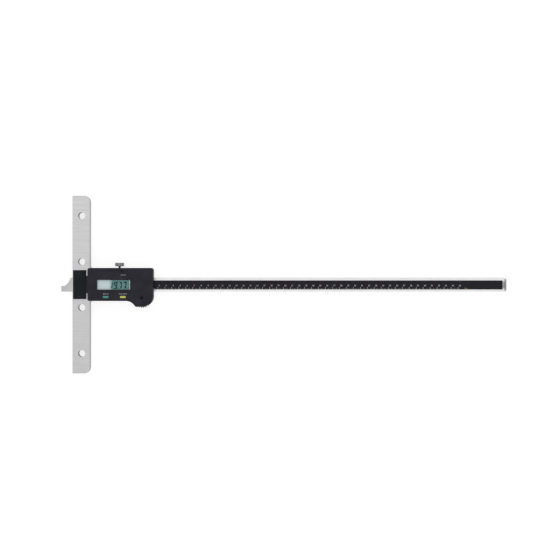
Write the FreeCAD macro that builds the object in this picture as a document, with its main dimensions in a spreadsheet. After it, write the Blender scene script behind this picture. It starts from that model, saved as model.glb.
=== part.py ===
"""Digital depth gauge, 500 mm, lying on its back with the display facing up.

The origin is the centre of the base's measuring face, at half the base's thickness.
X runs from the measuring face along the beam, Y along the base, Z out of the display.
"""
import FreeCAD
import Part
import Sketcher
import math
import os
import re

SIZES = {
    # Base bar and the slider frame behind it, one piece of steel
    "base_length": 254.0,
    "base_depth": 25.0,
    "base_thick": 10.0,
    "base_corner": 8.2,
    "base_hole": 10.0,
    "base_hole_pitch": 65.8,
    "base_hole_setback": 13.2,
    "root_fillet": 4.5,
    "edge_break": 0.4,
    "frame_inset": 0.6,
    # Running gaps
    "slide_gap": 0.04,
    "turn_gap": 0.04,
    "fit_gap": 0.1,
    "free_gap": 0.3,
    # Beam and its measuring tip
    "beam_length": 636.9,
    "beam_width": 20.0,
    "beam_thick": 4.0,
    "tip_reach": 16.0,
    "tip_width": 8.2,
    "tip_flat": 4.6,
    "tip_shoulder": 13.2,
    "tip_curve": 17.1,
    # Graduated film in its recess
    "film_width": 12.9,
    "film_thick": 0.2,
    "film_recess": 0.3,
    "film_offset": 0.5,
    "film_lead": 21.0,
    # End stop
    "stop_wall": 1.8,
    "stop_width": 16.0,
    "stop_rise": 3.0,
    "stop_foot_width": 10.0,
    "stop_foot_length": 4.9,
    "stop_foot_thick": 0.8,
    "stop_screw_pitch": 4.0,
    "stop_screw_head": 1.1,
    "stop_screw_shank": 0.7,
    # Retaining plate and wiper on the base
    "plate_setback": 1.0,
    "plate_depth": 18.8,
    "plate_length": 41.4,
    "plate_thick": 1.5,
    "plate_screw_pitch": 34.0,
    "plate_screw_head": 1.6,
    "plate_screw_shank": 1.0,
    "plate_screw_length": 4.0,
    "wiper_depth": 3.1,
    "wiper_width": 25.0,
    "wiper_thick": 1.0,
    # Gib, its set screws and the clamp
    "gib_thick": 1.6,
    "gib_start": 27.0,
    "gib_length": 84.0,
    "gib_screw_near": 45.0,
    "gib_screw_far": 95.0,
    "gib_screw_size": 1.25,
    "gib_screw_length": 8.0,
    "clamp_place": 67.3,
    "clamp_shank": 1.5,
    "clamp_tip": 14.0,
    "clamp_head": 6.5,
    "clamp_head_start": 26.4,
    "clamp_head_length": 4.9,
    "clamp_grip": 0.25,
    "clamp_flute": 1.3,
    "clamp_flutes": 16,
    "pad_size": 1.4,
    # Display unit's cover
    "housing_left": 23.3,
    "housing_right": 116.6,
    "housing_top": 23.8,
    "housing_bottom": 23.3,
    "housing_height": 12.0,
    "housing_wall": 1.6,
    "housing_corner": 3.0,
    "housing_edge": 0.7,
    "swell_reach": 22.8,
    "swell_turn": 58.0,
    "swell_lead": 15.0,
    "swell_round": 15.0,
    # Thumb wheel
    "wheel_place": 100.6,
    "wheel_radius": 14.4,
    "wheel_thick": 4.2,
    "wheel_teeth": 32,
    "wheel_notch": 1.0,
    "wheel_peep": 1.5,
    "wheel_show": 1.9,
    "wheel_show_from": -110.0,
    "wheel_show_to": -44.0,
    "wheel_lift": 1.0,
    "hub_radius": 6.2,
    "drive_radius": 8.8,
    "nip_gap": 0.1,
    "ring_height": 3.4,
    "axle_radius": 2.0,
    "axle_head": 2.45,
    "axle_head_height": 1.3,
    "axle_root": 1.5,
    "axle_root_depth": 4.4,
    "axle_slot": 0.6,
    "axle_sink": 0.7,
    "boss_radius": 4.2,
    "washer_thick": 0.22,
    "washer_radius": 3.8,
    # Display and boards
    "window_left": 37.1,
    "window_length": 46.9,
    "window_width": 14.0,
    "window_drop": 0.3,
    "window_lip": 1.3,
    "window_sink": 0.2,
    "window_flange": 0.8,
    "lcd_length": 50.0,
    "lcd_width": 17.0,
    "lcd_thick": 2.0,
    "strip_width": 1.6,
    "strip_length": 44.0,
    "board_thick": 1.2,
    "reader_width": 32.0,
    "board_left": 33.0,
    "board_right": 86.0,
    "board_width": 41.2,
    "spacer_height": 2.6,
    "spacer_radius": 1.9,
    "board_screw_left": 39.0,
    "board_screw_right": 81.0,
    "board_screw_pitch": 28.0,
    "board_screw_head": 1.7,
    "board_screw_cap": 0.9,
    "board_screw_shank": 0.9,
    "board_screw_bite": 3.0,
    "chip_side": 9.0,
    "chip_thick": 1.2,
    # Buttons on their rubber keypad
    "button_length": 8.0,
    "button_width": 3.0,
    "button_proud": 0.4,
    "button_travel": 0.4,
    "button_drop": 17.6,
    "button_flange": 0.8,
    "button_flange_thick": 0.7,
    "zero_place": 49.3,
    "power_place": 73.8,
    "origin_place": 72.4,
    "origin_rise": 18.6,
    "origin_radius": 1.5,
    "origin_sink": 0.5,
    "origin_dish": 2.8,
    "origin_dish_depth": 0.4,
    "button_corner": 0.8,
    "keypad_width": 3.4,
    "keypad_height": 2.0,
    "keypad_base": 0.6,
    "keypad_dome": 1.4,
    # Button cell in its tray at the unit's right end
    "cell_radius": 5.8,
    "cell_thick": 5.4,
    "cell_rise": 9.0,
    "tray_wall": 1.0,
    "tray_floor": 0.8,
    "tray_face": 1.6,
    "rail_wall": 1.0,
    "contact_thick": 0.4,
    "contact_width": 5.0,
    # Data output on the top edge
    "port_left": 88.6,
    "port_length": 14.0,
    "port_height": 5.0,
    "port_depth": 4.2,
    "port_slot_length": 10.0,
    "port_slot_height": 2.4,
    "cap_stub": 2.4,
    # Screws from the back that hold the cover
    "cover_screw_left": 29.6,
    "cover_screw_right": 111.4,
    "cover_screw_high": 19.4,
    "cover_screw_low": 18.8,
    "cover_screw_shank": 1.0,
    "cover_screw_head": 1.9,
    "cover_screw_sink": 1.2,
    "cover_screw_bite": 5.0,
    "cover_boss": 2.2,
}

# Heights, from the back of the base at the bottom to the cover's front
FRONT = "(base_thick / 2)"
BEAM_TOP = f"({FRONT} - slide_gap)"
BEAM_BACK = f"({BEAM_TOP} - beam_thick)"
BEAM_MIDDLE = f"({BEAM_TOP} - beam_thick / 2)"
CHANNEL_FLOOR = f"({BEAM_BACK} - slide_gap)"
READER_TOP = f"({FRONT} + board_thick)"
BOARD_BACK = f"({READER_TOP} + spacer_height)"
BOARD_TOP = f"({BOARD_BACK} + board_thick)"
UNIT_FRONT = f"({FRONT} + housing_height)"
CEILING = f"({UNIT_FRONT} - housing_wall)"
WINDOW_BACK = f"({CEILING} - window_flange)"
LCD_TOP = f"({WINDOW_BACK} - fit_gap)"
LCD_BACK = f"({LCD_TOP} - lcd_thick)"
WHEEL_BACK = f"({FRONT} + wheel_lift)"
WHEEL_TOP = f"({WHEEL_BACK} + wheel_thick)"
BOSS_FOOT = f"({WHEEL_TOP} + washer_thick + 2 * slide_gap)"
TRAY_BACK = f"({FRONT} + free_gap)"
CELL_BACK = f"({TRAY_BACK} + tray_floor)"
CELL_TOP = f"({CELL_BACK} + cell_thick)"
TRAY_TOP = f"({CELL_TOP} + tray_floor)"
AXLE_HEAD_BACK = f"({UNIT_FRONT} - axle_sink - axle_head_height)"
RING_BACK = f"({CHANNEL_FLOOR} + free_gap)"
KEYPAD_TOP = f"({BOARD_TOP} + keypad_height)"
BUTTON_FOOT = f"({KEYPAD_TOP} + button_travel + fit_gap)"
ORIGIN_TOP = f"({UNIT_FRONT} - origin_dish_depth - origin_sink)"

# Places across the beam
BEAM_EDGE = "(beam_width / 2)"
CHANNEL_SIDE = f"({BEAM_EDGE} + slide_gap)"
GIB_BACK = f"({CHANNEL_SIDE} + gib_thick)"
POCKET_SIDE = f"({GIB_BACK} + slide_gap)"
FRAME_END = "(housing_right - frame_inset)"
FRAME_TOP = "(housing_top - frame_inset)"
BEAM_START = "(-tip_reach)"
BEAM_END = "(beam_length - tip_reach)"
FILM_START = f"({BEAM_START} + film_lead)"
STOP_FOOT_START = f"({BEAM_END} - stop_foot_length)"
FILM_END = f"({STOP_FOOT_START} - 2 * fit_gap)"
STOP_SCREW_PLACE = f"(({STOP_FOOT_START} + {BEAM_END} - stop_wall) / 2)"
WHEEL_DROP = f"(-{BEAM_EDGE} - drive_radius)"
SWELL_BOTTOM = f"({WHEEL_DROP} - wheel_radius + wheel_peep)"
INNER_TOP = "(housing_top - housing_wall)"
INNER_RIGHT = "(housing_right - housing_wall)"
WINDOW_MIDDLE = "(window_left + window_length / 2)"

# The tray holds the cell with a fit all round and ends flush with the cover
TRAY_HALF = "(cell_radius + fit_gap + tray_wall)"
CELL_PLACE = "(housing_right - tray_face - fit_gap - cell_radius)"
TRAY_LEFT = f"({CELL_PLACE} - {TRAY_HALF})"

doc = FreeCAD.newDocument("DepthGauge")
sheet = doc.addObject("Spreadsheet::Sheet", "Sizes")
for row, (alias, value) in enumerate(SIZES.items(), start=1):
    sheet.set(f"A{row}", alias)
    sheet.set(f"B{row}", str(value))
    sheet.setAlias(f"B{row}", alias)
doc.recompute()

NODES = []


def cells(formula):
    """Point each size's name in a formula at its cell of the sheet."""
    return re.sub(r"[a-z_]+", lambda word: f"Sizes.{word[0]}" if word[0] in SIZES else word[0], formula)


def size(formula):
    """Value of a formula of sizes, now."""
    return float(sheet.evalExpression(cells(formula)))


def bind(thing, **formulas):
    """Tie properties of an object to formulas of sizes; a double underscore stands for a dot."""
    for name, formula in formulas.items():
        thing.setExpression(name.replace("__", "."), cells(formula))


def place(thing, x, y, z):
    """Tie an object's place to formulas of sizes."""
    bind(thing, Placement__Base__x=x, Placement__Base__y=y, Placement__Base__z=z)


def node(label, thing):
    """Register a finished piece under the name of its file."""
    thing.Label = label
    NODES.append(thing)
    return thing


def block(name, low, high):
    """Box between two corners, each corner three formulas."""
    box = doc.addObject("Part::Box", name)
    spans = [f"({far}) - ({near})" for near, far in zip(low, high)]
    bind(box, Length=spans[0], Width=spans[1], Height=spans[2])
    place(box, *low)
    return box


TURNS = {
    "z": FreeCAD.Rotation(),
    "y": FreeCAD.Rotation(FreeCAD.Vector(1, 0, 0), -90),
    "x": FreeCAD.Rotation(FreeCAD.Vector(0, 1, 0), 90),
}


def rod(name, start, radius, length, along="z"):
    """Round bar from a start point in the positive direction of one axis."""
    bar = doc.addObject("Part::Cylinder", name)
    bar.Placement = FreeCAD.Placement(FreeCAD.Vector(), TURNS[along])
    bind(bar, Radius=radius, Height=length)
    place(bar, *start)
    return bar


def join(name, *pieces):
    """One solid out of pieces that meet."""
    whole = doc.addObject("Part::MultiFuse", name)
    whole.Shapes = list(pieces)
    whole.Refine = True
    return whole


def carve(name, base, *tools):
    """A base with every tool taken away."""
    taken = tools[0] if len(tools) == 1 else join(f"{name}_cutters", *tools)
    result = doc.addObject("Part::Cut", name)
    result.Base = base
    result.Tool = taken
    return result


def group(name, pieces):
    """Separate like pieces that share one file."""
    several = doc.addObject("Part::Compound", name)
    several.Links = pieces
    return several


def sketch_on(body, name, height):
    """Empty sketch of a body, parallel to its XY plane at a height."""
    plane = next(item for item in body.Origin.OriginFeatures if item.Role == "XY_Plane")
    sketch = body.newObject("Sketcher::SketchObject", name)
    sketch.AttachmentSupport = [(plane, "")]
    sketch.MapMode = "FlatFace"
    bind(sketch, AttachmentOffset__Base__z=height)
    return sketch


def limit(sketch, constraint, formula):
    """Add a constraint whose value follows a formula of sizes."""
    index = sketch.addConstraint(constraint)
    sketch.setExpression(f"Constraints[{index}]", cells(formula))


def pin_down(sketch, geometry, point, x, y):
    """Tie a sketch point to formulas for its distance from the origin."""
    limit(sketch, Sketcher.Constraint("DistanceX", -1, 1, geometry, point, size(x)), x)
    limit(sketch, Sketcher.Constraint("DistanceY", -1, 1, geometry, point, size(y)), y)


def draw_circle(sketch, x, y, radius):
    """Circle at a point."""
    centre = FreeCAD.Vector(size(x), size(y), 0)
    ring = sketch.addGeometry(Part.Circle(centre, FreeCAD.Vector(0, 0, 1), size(radius)))
    limit(sketch, Sketcher.Constraint("Radius", ring, size(radius)), radius)
    pin_down(sketch, ring, 3, x, y)


def arc_between(start, end, radius, left):
    """Arc of less than half a turn from start to end, bending left or right."""
    chord = end - start
    side = FreeCAD.Vector(-chord.y, chord.x, 0).normalize() * (1 if left else -1)
    reach = math.sqrt(max(radius ** 2 - chord.Length ** 2 / 4, 0))
    centre = (start + end) * 0.5 + side * reach
    first, last = (start, end) if left else (end, start)
    angles = [math.atan2(point.y - centre.y, point.x - centre.x) for point in (first, last)]
    circle = Part.Circle(centre, FreeCAD.Vector(0, 0, 1), radius)
    return Part.ArcOfCircle(circle, angles[0], angles[1])


def draw_outline(sketch, corners):
    """Closed outline through corners; a corner may name the radius and bend of the arc that leaves it."""
    points = [FreeCAD.Vector(size(corner[0]), size(corner[1]), 0) for corner in corners]
    ends = []
    for index, corner in enumerate(corners):
        start = points[index]
        end = points[(index + 1) % len(points)]
        if len(corner) == 2:
            ends.append((sketch.addGeometry(Part.LineSegment(start, end)), 1, 2))
            continue
        left = corner[3] == "left"
        arc = sketch.addGeometry(arc_between(start, end, size(corner[2]), left))
        ends.append((arc, 1, 2) if left else (arc, 2, 1))
    for index, (edge, first, last) in enumerate(ends):
        follower, meets, _ = ends[(index + 1) % len(ends)]
        sketch.addConstraint(Sketcher.Constraint("Coincident", edge, last, follower, meets))
    for (edge, first, last), corner in zip(ends, corners):
        pin_down(sketch, edge, first, corner[0], corner[1])
        if len(corner) > 2:
            limit(sketch, Sketcher.Constraint("Radius", edge, size(corner[2])), corner[2])


def draw_rectangle(sketch, low, high):
    """Rectangle between two corners."""
    draw_outline(sketch, [(low[0], low[1]), (high[0], low[1]), (high[0], high[1]), (low[0], high[1])])


def pad(body, sketch, name, depth):
    """Raise a sketch by a depth."""
    feature = body.newObject("PartDesign::Pad", name)
    feature.Profile = sketch
    bind(feature, Length=depth)
    sketch.Visibility = False
    return feature


CUTS = []


def pocket(body, sketch, name, depth):
    """Cut from a sketch's height upwards by a depth."""
    feature = body.newObject("PartDesign::Pocket", name)
    feature.Profile = sketch
    feature.Reversed = True
    bind(feature, Length=depth)
    sketch.Visibility = False
    CUTS.append(feature)
    return feature


def repeat_around(body, feature, name, count, centre_sketch):
    """Copies of a feature around the normal of a sketch through its origin."""
    pattern = body.newObject("PartDesign::PolarPattern", name)
    pattern.Originals = [feature]
    pattern.Axis = (centre_sketch, ["N_Axis"])
    pattern.Angle = 360
    bind(pattern, Occurrences=count)
    body.Tip = pattern
    return pattern


def soften(body, base, name, radius, wanted, kind="PartDesign::Fillet"):
    """Round or bevel the edges of a feature that a test picks out."""
    doc.recompute()
    names = [f"Edge{number}" for number, edge in enumerate(base.Shape.Edges, start=1) if wanted(edge)]
    feature = body.newObject(kind, name)
    feature.Base = (base, names)
    bind(feature, **{"Size" if kind.endswith("Chamfer") else "Radius": radius})
    return feature


def lies_at(edge, height):
    """True where an edge lies flat at a height."""
    box = edge.BoundBox
    return abs(box.ZMin - height) < 1e-4 and abs(box.ZMax - height) < 1e-4


def unit_outline(inset):
    """Display unit from the front, drawn in by an inset; the swell's two bends keep their centres."""
    left = f"(housing_left + {inset})"
    right = f"(housing_right - {inset})"
    top = f"(housing_top - {inset})"
    bottom = f"(-housing_bottom + {inset})"
    corner = f"(housing_corner - {inset})"
    swell_start = "(wheel_place - swell_reach)"
    swell_drop = f"(-housing_bottom - {SWELL_BOTTOM})"
    belly = f"({swell_drop} / (1 - cos(swell_turn)) - swell_lead)"
    belly_place = f"({swell_start} + (swell_lead + {belly}) * sin(swell_turn))"
    lead_arm = f"(swell_lead + {inset})"
    bend = (
        f"{swell_start} + {lead_arm} * sin(swell_turn)",
        f"-housing_bottom - swell_lead + {lead_arm} * cos(swell_turn)",
    )
    floor = f"({SWELL_BOTTOM} + {inset})"
    return [
        (f"{left} + {corner}", bottom),
        (swell_start, bottom, lead_arm, "right"),
        (*bend, f"{belly} - {inset}", "left"),
        (belly_place, floor),
        ("housing_right - swell_round", floor, f"swell_round - {inset}", "left"),
        (right, f"{SWELL_BOTTOM} + swell_round"),
        (right, f"{top} - {corner}", corner, "left"),
        (f"{right} - {corner}", top),
        (f"{left} + {corner}", top, corner, "left"),
        (left, f"{top} - {corner}"),
        (left, f"{bottom} + {corner}", corner, "left"),
    ]


def draw_sector(sketch, inner, outer, first, last):
    """Piece of a ring about the wheel's centre, between two angles."""
    inner_start, outer_start, outer_end, inner_end = [
        (f"wheel_place + {arm} * cos({angle})", f"{WHEEL_DROP} + {arm} * sin({angle})")
        for arm, angle in ((inner, first), (outer, first), (outer, last), (inner, last))
    ]
    outer_bend = (*outer_start, outer, "left")
    inner_bend = (*inner_end, inner, "right")
    draw_outline(sketch, [inner_start, outer_bend, outer_end, inner_bend])


def show_teeth(body, name, radius, low, height):
    """Cut the swell back to a radius about the wheel, so that the teeth stand proud of it."""
    sketch = sketch_on(body, f"{name}_sketch", low)
    draw_sector(sketch, f"({radius})", "(wheel_radius * 1.5)", "wheel_show_from", "wheel_show_to")
    return pocket(body, sketch, name, height)


def base_frame():
    """Steel base bar and slider frame in one, with its channel, holes and wheel pocket."""
    body = doc.addObject("PartDesign::Body", "base_frame_body")
    half = "(base_length / 2)"
    bar = sketch_on(body, "bar_outline", f"-{FRONT}")
    inner = unit_outline("frame_inset")
    slider = inner[1:7]
    draw_outline(bar, [
        ("0", f"-{half}"),
        ("base_depth - base_corner", f"-{half}", "base_corner", "left"),
        ("base_depth", f"-{half} + base_corner"),
        ("base_depth", "-housing_bottom + frame_inset - root_fillet", "root_fillet", "right"),
        ("base_depth + root_fillet", "-housing_bottom + frame_inset"),
        *slider,
        (f"{FRAME_END} - (housing_corner - frame_inset)", FRAME_TOP),
        ("base_depth + root_fillet", FRAME_TOP, "root_fillet", "right"),
        ("base_depth", f"{FRAME_TOP} + root_fillet"),
        ("base_depth", f"{half} - base_corner", "base_corner", "left"),
        ("base_depth - base_corner", half),
        ("0", half),
    ])
    solid = pad(body, bar, "frame_blank", "base_thick")
    face_heights = (size(FRONT), -size(FRONT))
    soften(body, solid, "broken_edges", "edge_break",
           lambda edge: any(lies_at(edge, height) for height in face_heights), "PartDesign::Chamfer")
    channel = sketch_on(body, "channel_outline", CHANNEL_FLOOR)
    draw_rectangle(channel, ("-base_depth", f"-{CHANNEL_SIDE}"), ("housing_right + base_depth", CHANNEL_SIDE))
    pocket(body, channel, "beam_channel", "base_thick")
    gib_room = sketch_on(body, "gib_outline", CHANNEL_FLOOR)
    draw_rectangle(gib_room, ("gib_start - fit_gap", "0"), ("gib_start + gib_length + fit_gap", POCKET_SIDE))
    pocket(body, gib_room, "gib_pocket", "base_thick")
    holes = sketch_on(body, "base_holes_outline", "-base_thick")
    for step in (-1.5, -0.5, 0.5, 1.5):
        draw_circle(holes, "base_hole_setback", f"{step} * base_hole_pitch", "base_hole / 2")
    pocket(body, holes, "base_holes", "2 * base_thick")
    hub_room = sketch_on(body, "hub_outline", CHANNEL_FLOOR)
    draw_circle(hub_room, "wheel_place", WHEEL_DROP, "drive_radius + free_gap")
    pocket(body, hub_room, "hub_pocket", "base_thick")
    axle_hole = sketch_on(body, "axle_outline", f"{CHANNEL_FLOOR} - axle_root_depth")
    draw_circle(axle_hole, "wheel_place", WHEEL_DROP, "axle_root + turn_gap")
    pocket(body, axle_hole, "axle_hole", "base_thick")
    plate_holes = sketch_on(body, "plate_holes_outline", f"{FRONT} - plate_screw_length")
    for side in (-1, 1):
        draw_circle(plate_holes, "plate_setback + plate_depth / 2", f"{side} * plate_screw_pitch / 2",
                    "plate_screw_shank + turn_gap")
    pocket(body, plate_holes, "plate_holes", "base_thick")
    board_holes = sketch_on(body, "board_holes_outline", f"{FRONT} - board_screw_bite - fit_gap")
    for end in ("board_screw_left", "board_screw_right"):
        for side in (-1, 1):
            draw_circle(board_holes, end, f"{side} * board_screw_pitch / 2", "board_screw_shank + turn_gap")
    pocket(body, board_holes, "board_holes", "base_thick")
    cover_holes = sketch_on(body, "cover_holes_outline", "-base_thick")
    for x, y in cover_screw_places():
        draw_circle(cover_holes, x, y, "cover_screw_shank + turn_gap")
    pocket(body, cover_holes, "cover_holes", "2 * base_thick")
    seats = sketch_on(body, "cover_seats_outline", "-base_thick")
    for x, y in cover_screw_places():
        draw_circle(seats, x, y, "cover_screw_head + fit_gap")
    pocket(body, seats, "cover_screw_seats", "base_thick / 2 + cover_screw_sink")
    last = show_teeth(body, "swell_relief", "wheel_radius - wheel_show - frame_inset", "-base_thick",
                      "2 * base_thick")
    body.Tip = last
    bores = [
        rod(f"gib_bore_{name}", (name, "0", BEAM_MIDDLE), "gib_screw_size + turn_gap", "base_length", "y")
        for name in ("gib_screw_near", "gib_screw_far")
    ]
    bores.append(rod("clamp_bore", ("clamp_place", "0", BEAM_MIDDLE), "clamp_shank + turn_gap", "base_length",
                     "y"))
    return node("base_frame", carve("base_frame_bored", body, *bores))


def cover_screw_places():
    """Where the screws from the back enter the cover's bosses."""
    return [
        ("cover_screw_left", "cover_screw_high"),
        ("cover_screw_left", "-cover_screw_low"),
        ("cover_screw_right", "cover_screw_high"),
    ]


def beam_blade():
    """Flat steel beam with a stepped tip, whose shoulder sweeps up in a hollow curve."""
    body = doc.addObject("PartDesign::Body", "beam_blade_body")
    outline = sketch_on(body, "beam_outline", BEAM_BACK)
    draw_outline(outline, [
        (BEAM_START, f"-{BEAM_EDGE}"),
        (BEAM_END, f"-{BEAM_EDGE}"),
        (BEAM_END, BEAM_EDGE),
        (f"{BEAM_START} + tip_shoulder", BEAM_EDGE, "tip_curve", "right"),
        (f"{BEAM_START} + tip_flat", f"-{BEAM_EDGE} + tip_width"),
        (BEAM_START, f"-{BEAM_EDGE} + tip_width"),
    ])
    pad(body, outline, "beam_blank", "beam_thick")
    groove = sketch_on(body, "film_outline", f"{BEAM_TOP} - film_recess")
    draw_rectangle(groove, (f"{FILM_START} - fit_gap", "-film_offset - film_width / 2 - fit_gap"),
                   (f"{FILM_END} + fit_gap", "-film_offset + film_width / 2 + fit_gap"))
    body.Tip = pocket(body, groove, "film_groove", "beam_thick")
    tapped = [
        rod(f"stop_tap_{side}", (STOP_SCREW_PLACE, f"{side} * stop_screw_pitch / 2 - film_offset", BEAM_BACK),
            "stop_screw_shank", "2 * beam_thick")
        for side in (-1, 1)
    ]
    return node("beam_blade", carve("beam_blade_tapped", body, *tapped))


def beam_fittings():
    """Film in its groove and the bracket that stops the beam at the frame's end."""
    node("scale_film", block(
        "film", (FILM_START, "-film_offset - film_width / 2", f"{BEAM_TOP} - film_recess"),
        (FILM_END, "-film_offset + film_width / 2", f"{BEAM_TOP} - film_recess + film_thick")))
    wall = block(
        "stop_upright", (f"{BEAM_END} - stop_wall", "-film_offset - stop_width / 2", BEAM_TOP),
        (BEAM_END, "-film_offset + stop_width / 2", f"{BEAM_TOP} + stop_rise"))
    foot = block(
        "stop_foot", (STOP_FOOT_START, "-film_offset - stop_foot_width / 2", BEAM_TOP),
        (BEAM_END, "-film_offset + stop_foot_width / 2", f"{BEAM_TOP} + stop_foot_thick"))
    ways = [
        rod(f"stop_way_{side}", (STOP_SCREW_PLACE, f"{side} * stop_screw_pitch / 2 - film_offset", BEAM_BACK),
            "stop_screw_shank", "2 * beam_thick")
        for side in (-1, 1)
    ]
    node("end_stop", carve("end_stop_drilled", join("end_stop_blank", wall, foot), *ways))
    screws = []
    for side in (-1, 1):
        y = f"{side} * stop_screw_pitch / 2 - film_offset"
        shank = rod(f"stop_shank_{side}", (STOP_SCREW_PLACE, y, f"{BEAM_BACK} + fit_gap"), "stop_screw_shank",
                    "beam_thick - fit_gap + stop_foot_thick")
        head = rod(f"stop_head_{side}", (STOP_SCREW_PLACE, y, f"{BEAM_TOP} + stop_foot_thick"),
                   "stop_screw_head", "stop_foot_thick")
        screws.append(join(f"stop_screw_{side}", shank, head))
    node("end_stop_screws", group("stop_screw_pair", screws))


def base_fittings():
    """Retaining plate over the channel, its screws, and the wiper between plate and cover."""
    half = "(plate_length / 2)"
    middle = "(plate_setback + plate_depth / 2)"
    plate_top = f"({FRONT} + plate_thick)"
    blank = block("plate_blank", ("plate_setback", f"-{half}", FRONT),
                  ("plate_setback + plate_depth", half, plate_top))
    ways = []
    screws = []
    for side in (-1, 1):
        y = f"{side} * plate_screw_pitch / 2"
        ways.append(rod(f"plate_way_{side}", (middle, y, FRONT), "plate_screw_shank + turn_gap",
                        "plate_thick"))
        ways.append(rod(f"plate_seat_{side}", (middle, y, f"{plate_top} - plate_thick / 2"),
                        "plate_screw_head + fit_gap", "plate_thick"))
        shank = rod(f"plate_shank_{side}", (middle, y, f"{FRONT} - plate_screw_length + fit_gap"),
                    "plate_screw_shank", "plate_screw_length - fit_gap + plate_thick / 2")
        head = rod(f"plate_head_{side}", (middle, y, f"{plate_top} - plate_thick / 2"), "plate_screw_head",
                   "plate_thick / 2")
        screws.append(join(f"plate_screw_{side}", shank, head))
    node("retaining_plate", carve("retaining_plate_drilled", blank, *ways))
    node("plate_screws", group("plate_screw_pair", screws))
    node("dust_wiper", block(
        "wiper", ("plate_setback + plate_depth + fit_gap", "-wiper_width / 2", FRONT),
        ("plate_setback + plate_depth + fit_gap + wiper_depth", "wiper_width / 2", f"{FRONT} + wiper_thick")))


def gib_and_clamp():
    """Gib with its two set screws, and the clamp: knurled screw with a pad at its tip."""
    node("gib_strip", block("gib", ("gib_start", CHANNEL_SIDE, BEAM_BACK),
                            ("gib_start + gib_length", GIB_BACK, BEAM_TOP)))
    node("gib_screws", group("gib_screw_pair", [
        rod(f"{name}_body", (name, GIB_BACK, BEAM_MIDDLE), "gib_screw_size", "gib_screw_length", "y")
        for name in ("gib_screw_near", "gib_screw_far")
    ]))
    node("clamp_pad", rod("pad_body", ("clamp_place", f"{GIB_BACK} + clamp_grip", BEAM_MIDDLE), "pad_size",
                          f"clamp_tip - {GIB_BACK} - clamp_grip", "y"))
    shank = rod("clamp_stem", ("clamp_place", "clamp_tip", BEAM_MIDDLE), "clamp_shank",
                "clamp_head_start - clamp_tip", "y")
    head = rod("clamp_knob", ("clamp_place", "clamp_head_start", BEAM_MIDDLE), "clamp_head",
               "clamp_head_length", "y")
    flutes = []
    for index in range(SIZES["clamp_flutes"]):
        angle = f"({index} * 360 / clamp_flutes)"
        centre = (
            f"clamp_place + clamp_head * cos({angle})",
            "clamp_head_start",
            f"{BEAM_MIDDLE} + clamp_head * sin({angle})",
        )
        flutes.append(rod(f"flute_{index}", centre, "clamp_flute / 2", "clamp_head_length", "y"))
    node("clamp_screw", join("clamp_screw_whole", carve("clamp_knob_fluted", head, *flutes), shank))


def draw_rounded(sketch, x, y, length, width, corner):
    """Rectangle about a point with rounded corners."""
    left, right = f"({x} - {length} / 2)", f"({x} + {length} / 2)"
    low, high = f"({y} - {width} / 2)", f"({y} + {width} / 2)"
    draw_outline(sketch, [
        (f"{left} + {corner}", low),
        (f"{right} - {corner}", low, corner, "left"),
        (right, f"{low} + {corner}"),
        (right, f"{high} - {corner}", corner, "left"),
        (f"{right} - {corner}", high),
        (f"{left} + {corner}", high, corner, "left"),
        (left, f"{high} - {corner}"),
        (left, f"{low} + {corner}", corner, "left"),
    ])


FLAT_BUTTONS = {"zero_button": "zero_place", "power_button": "power_place"}


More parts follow.
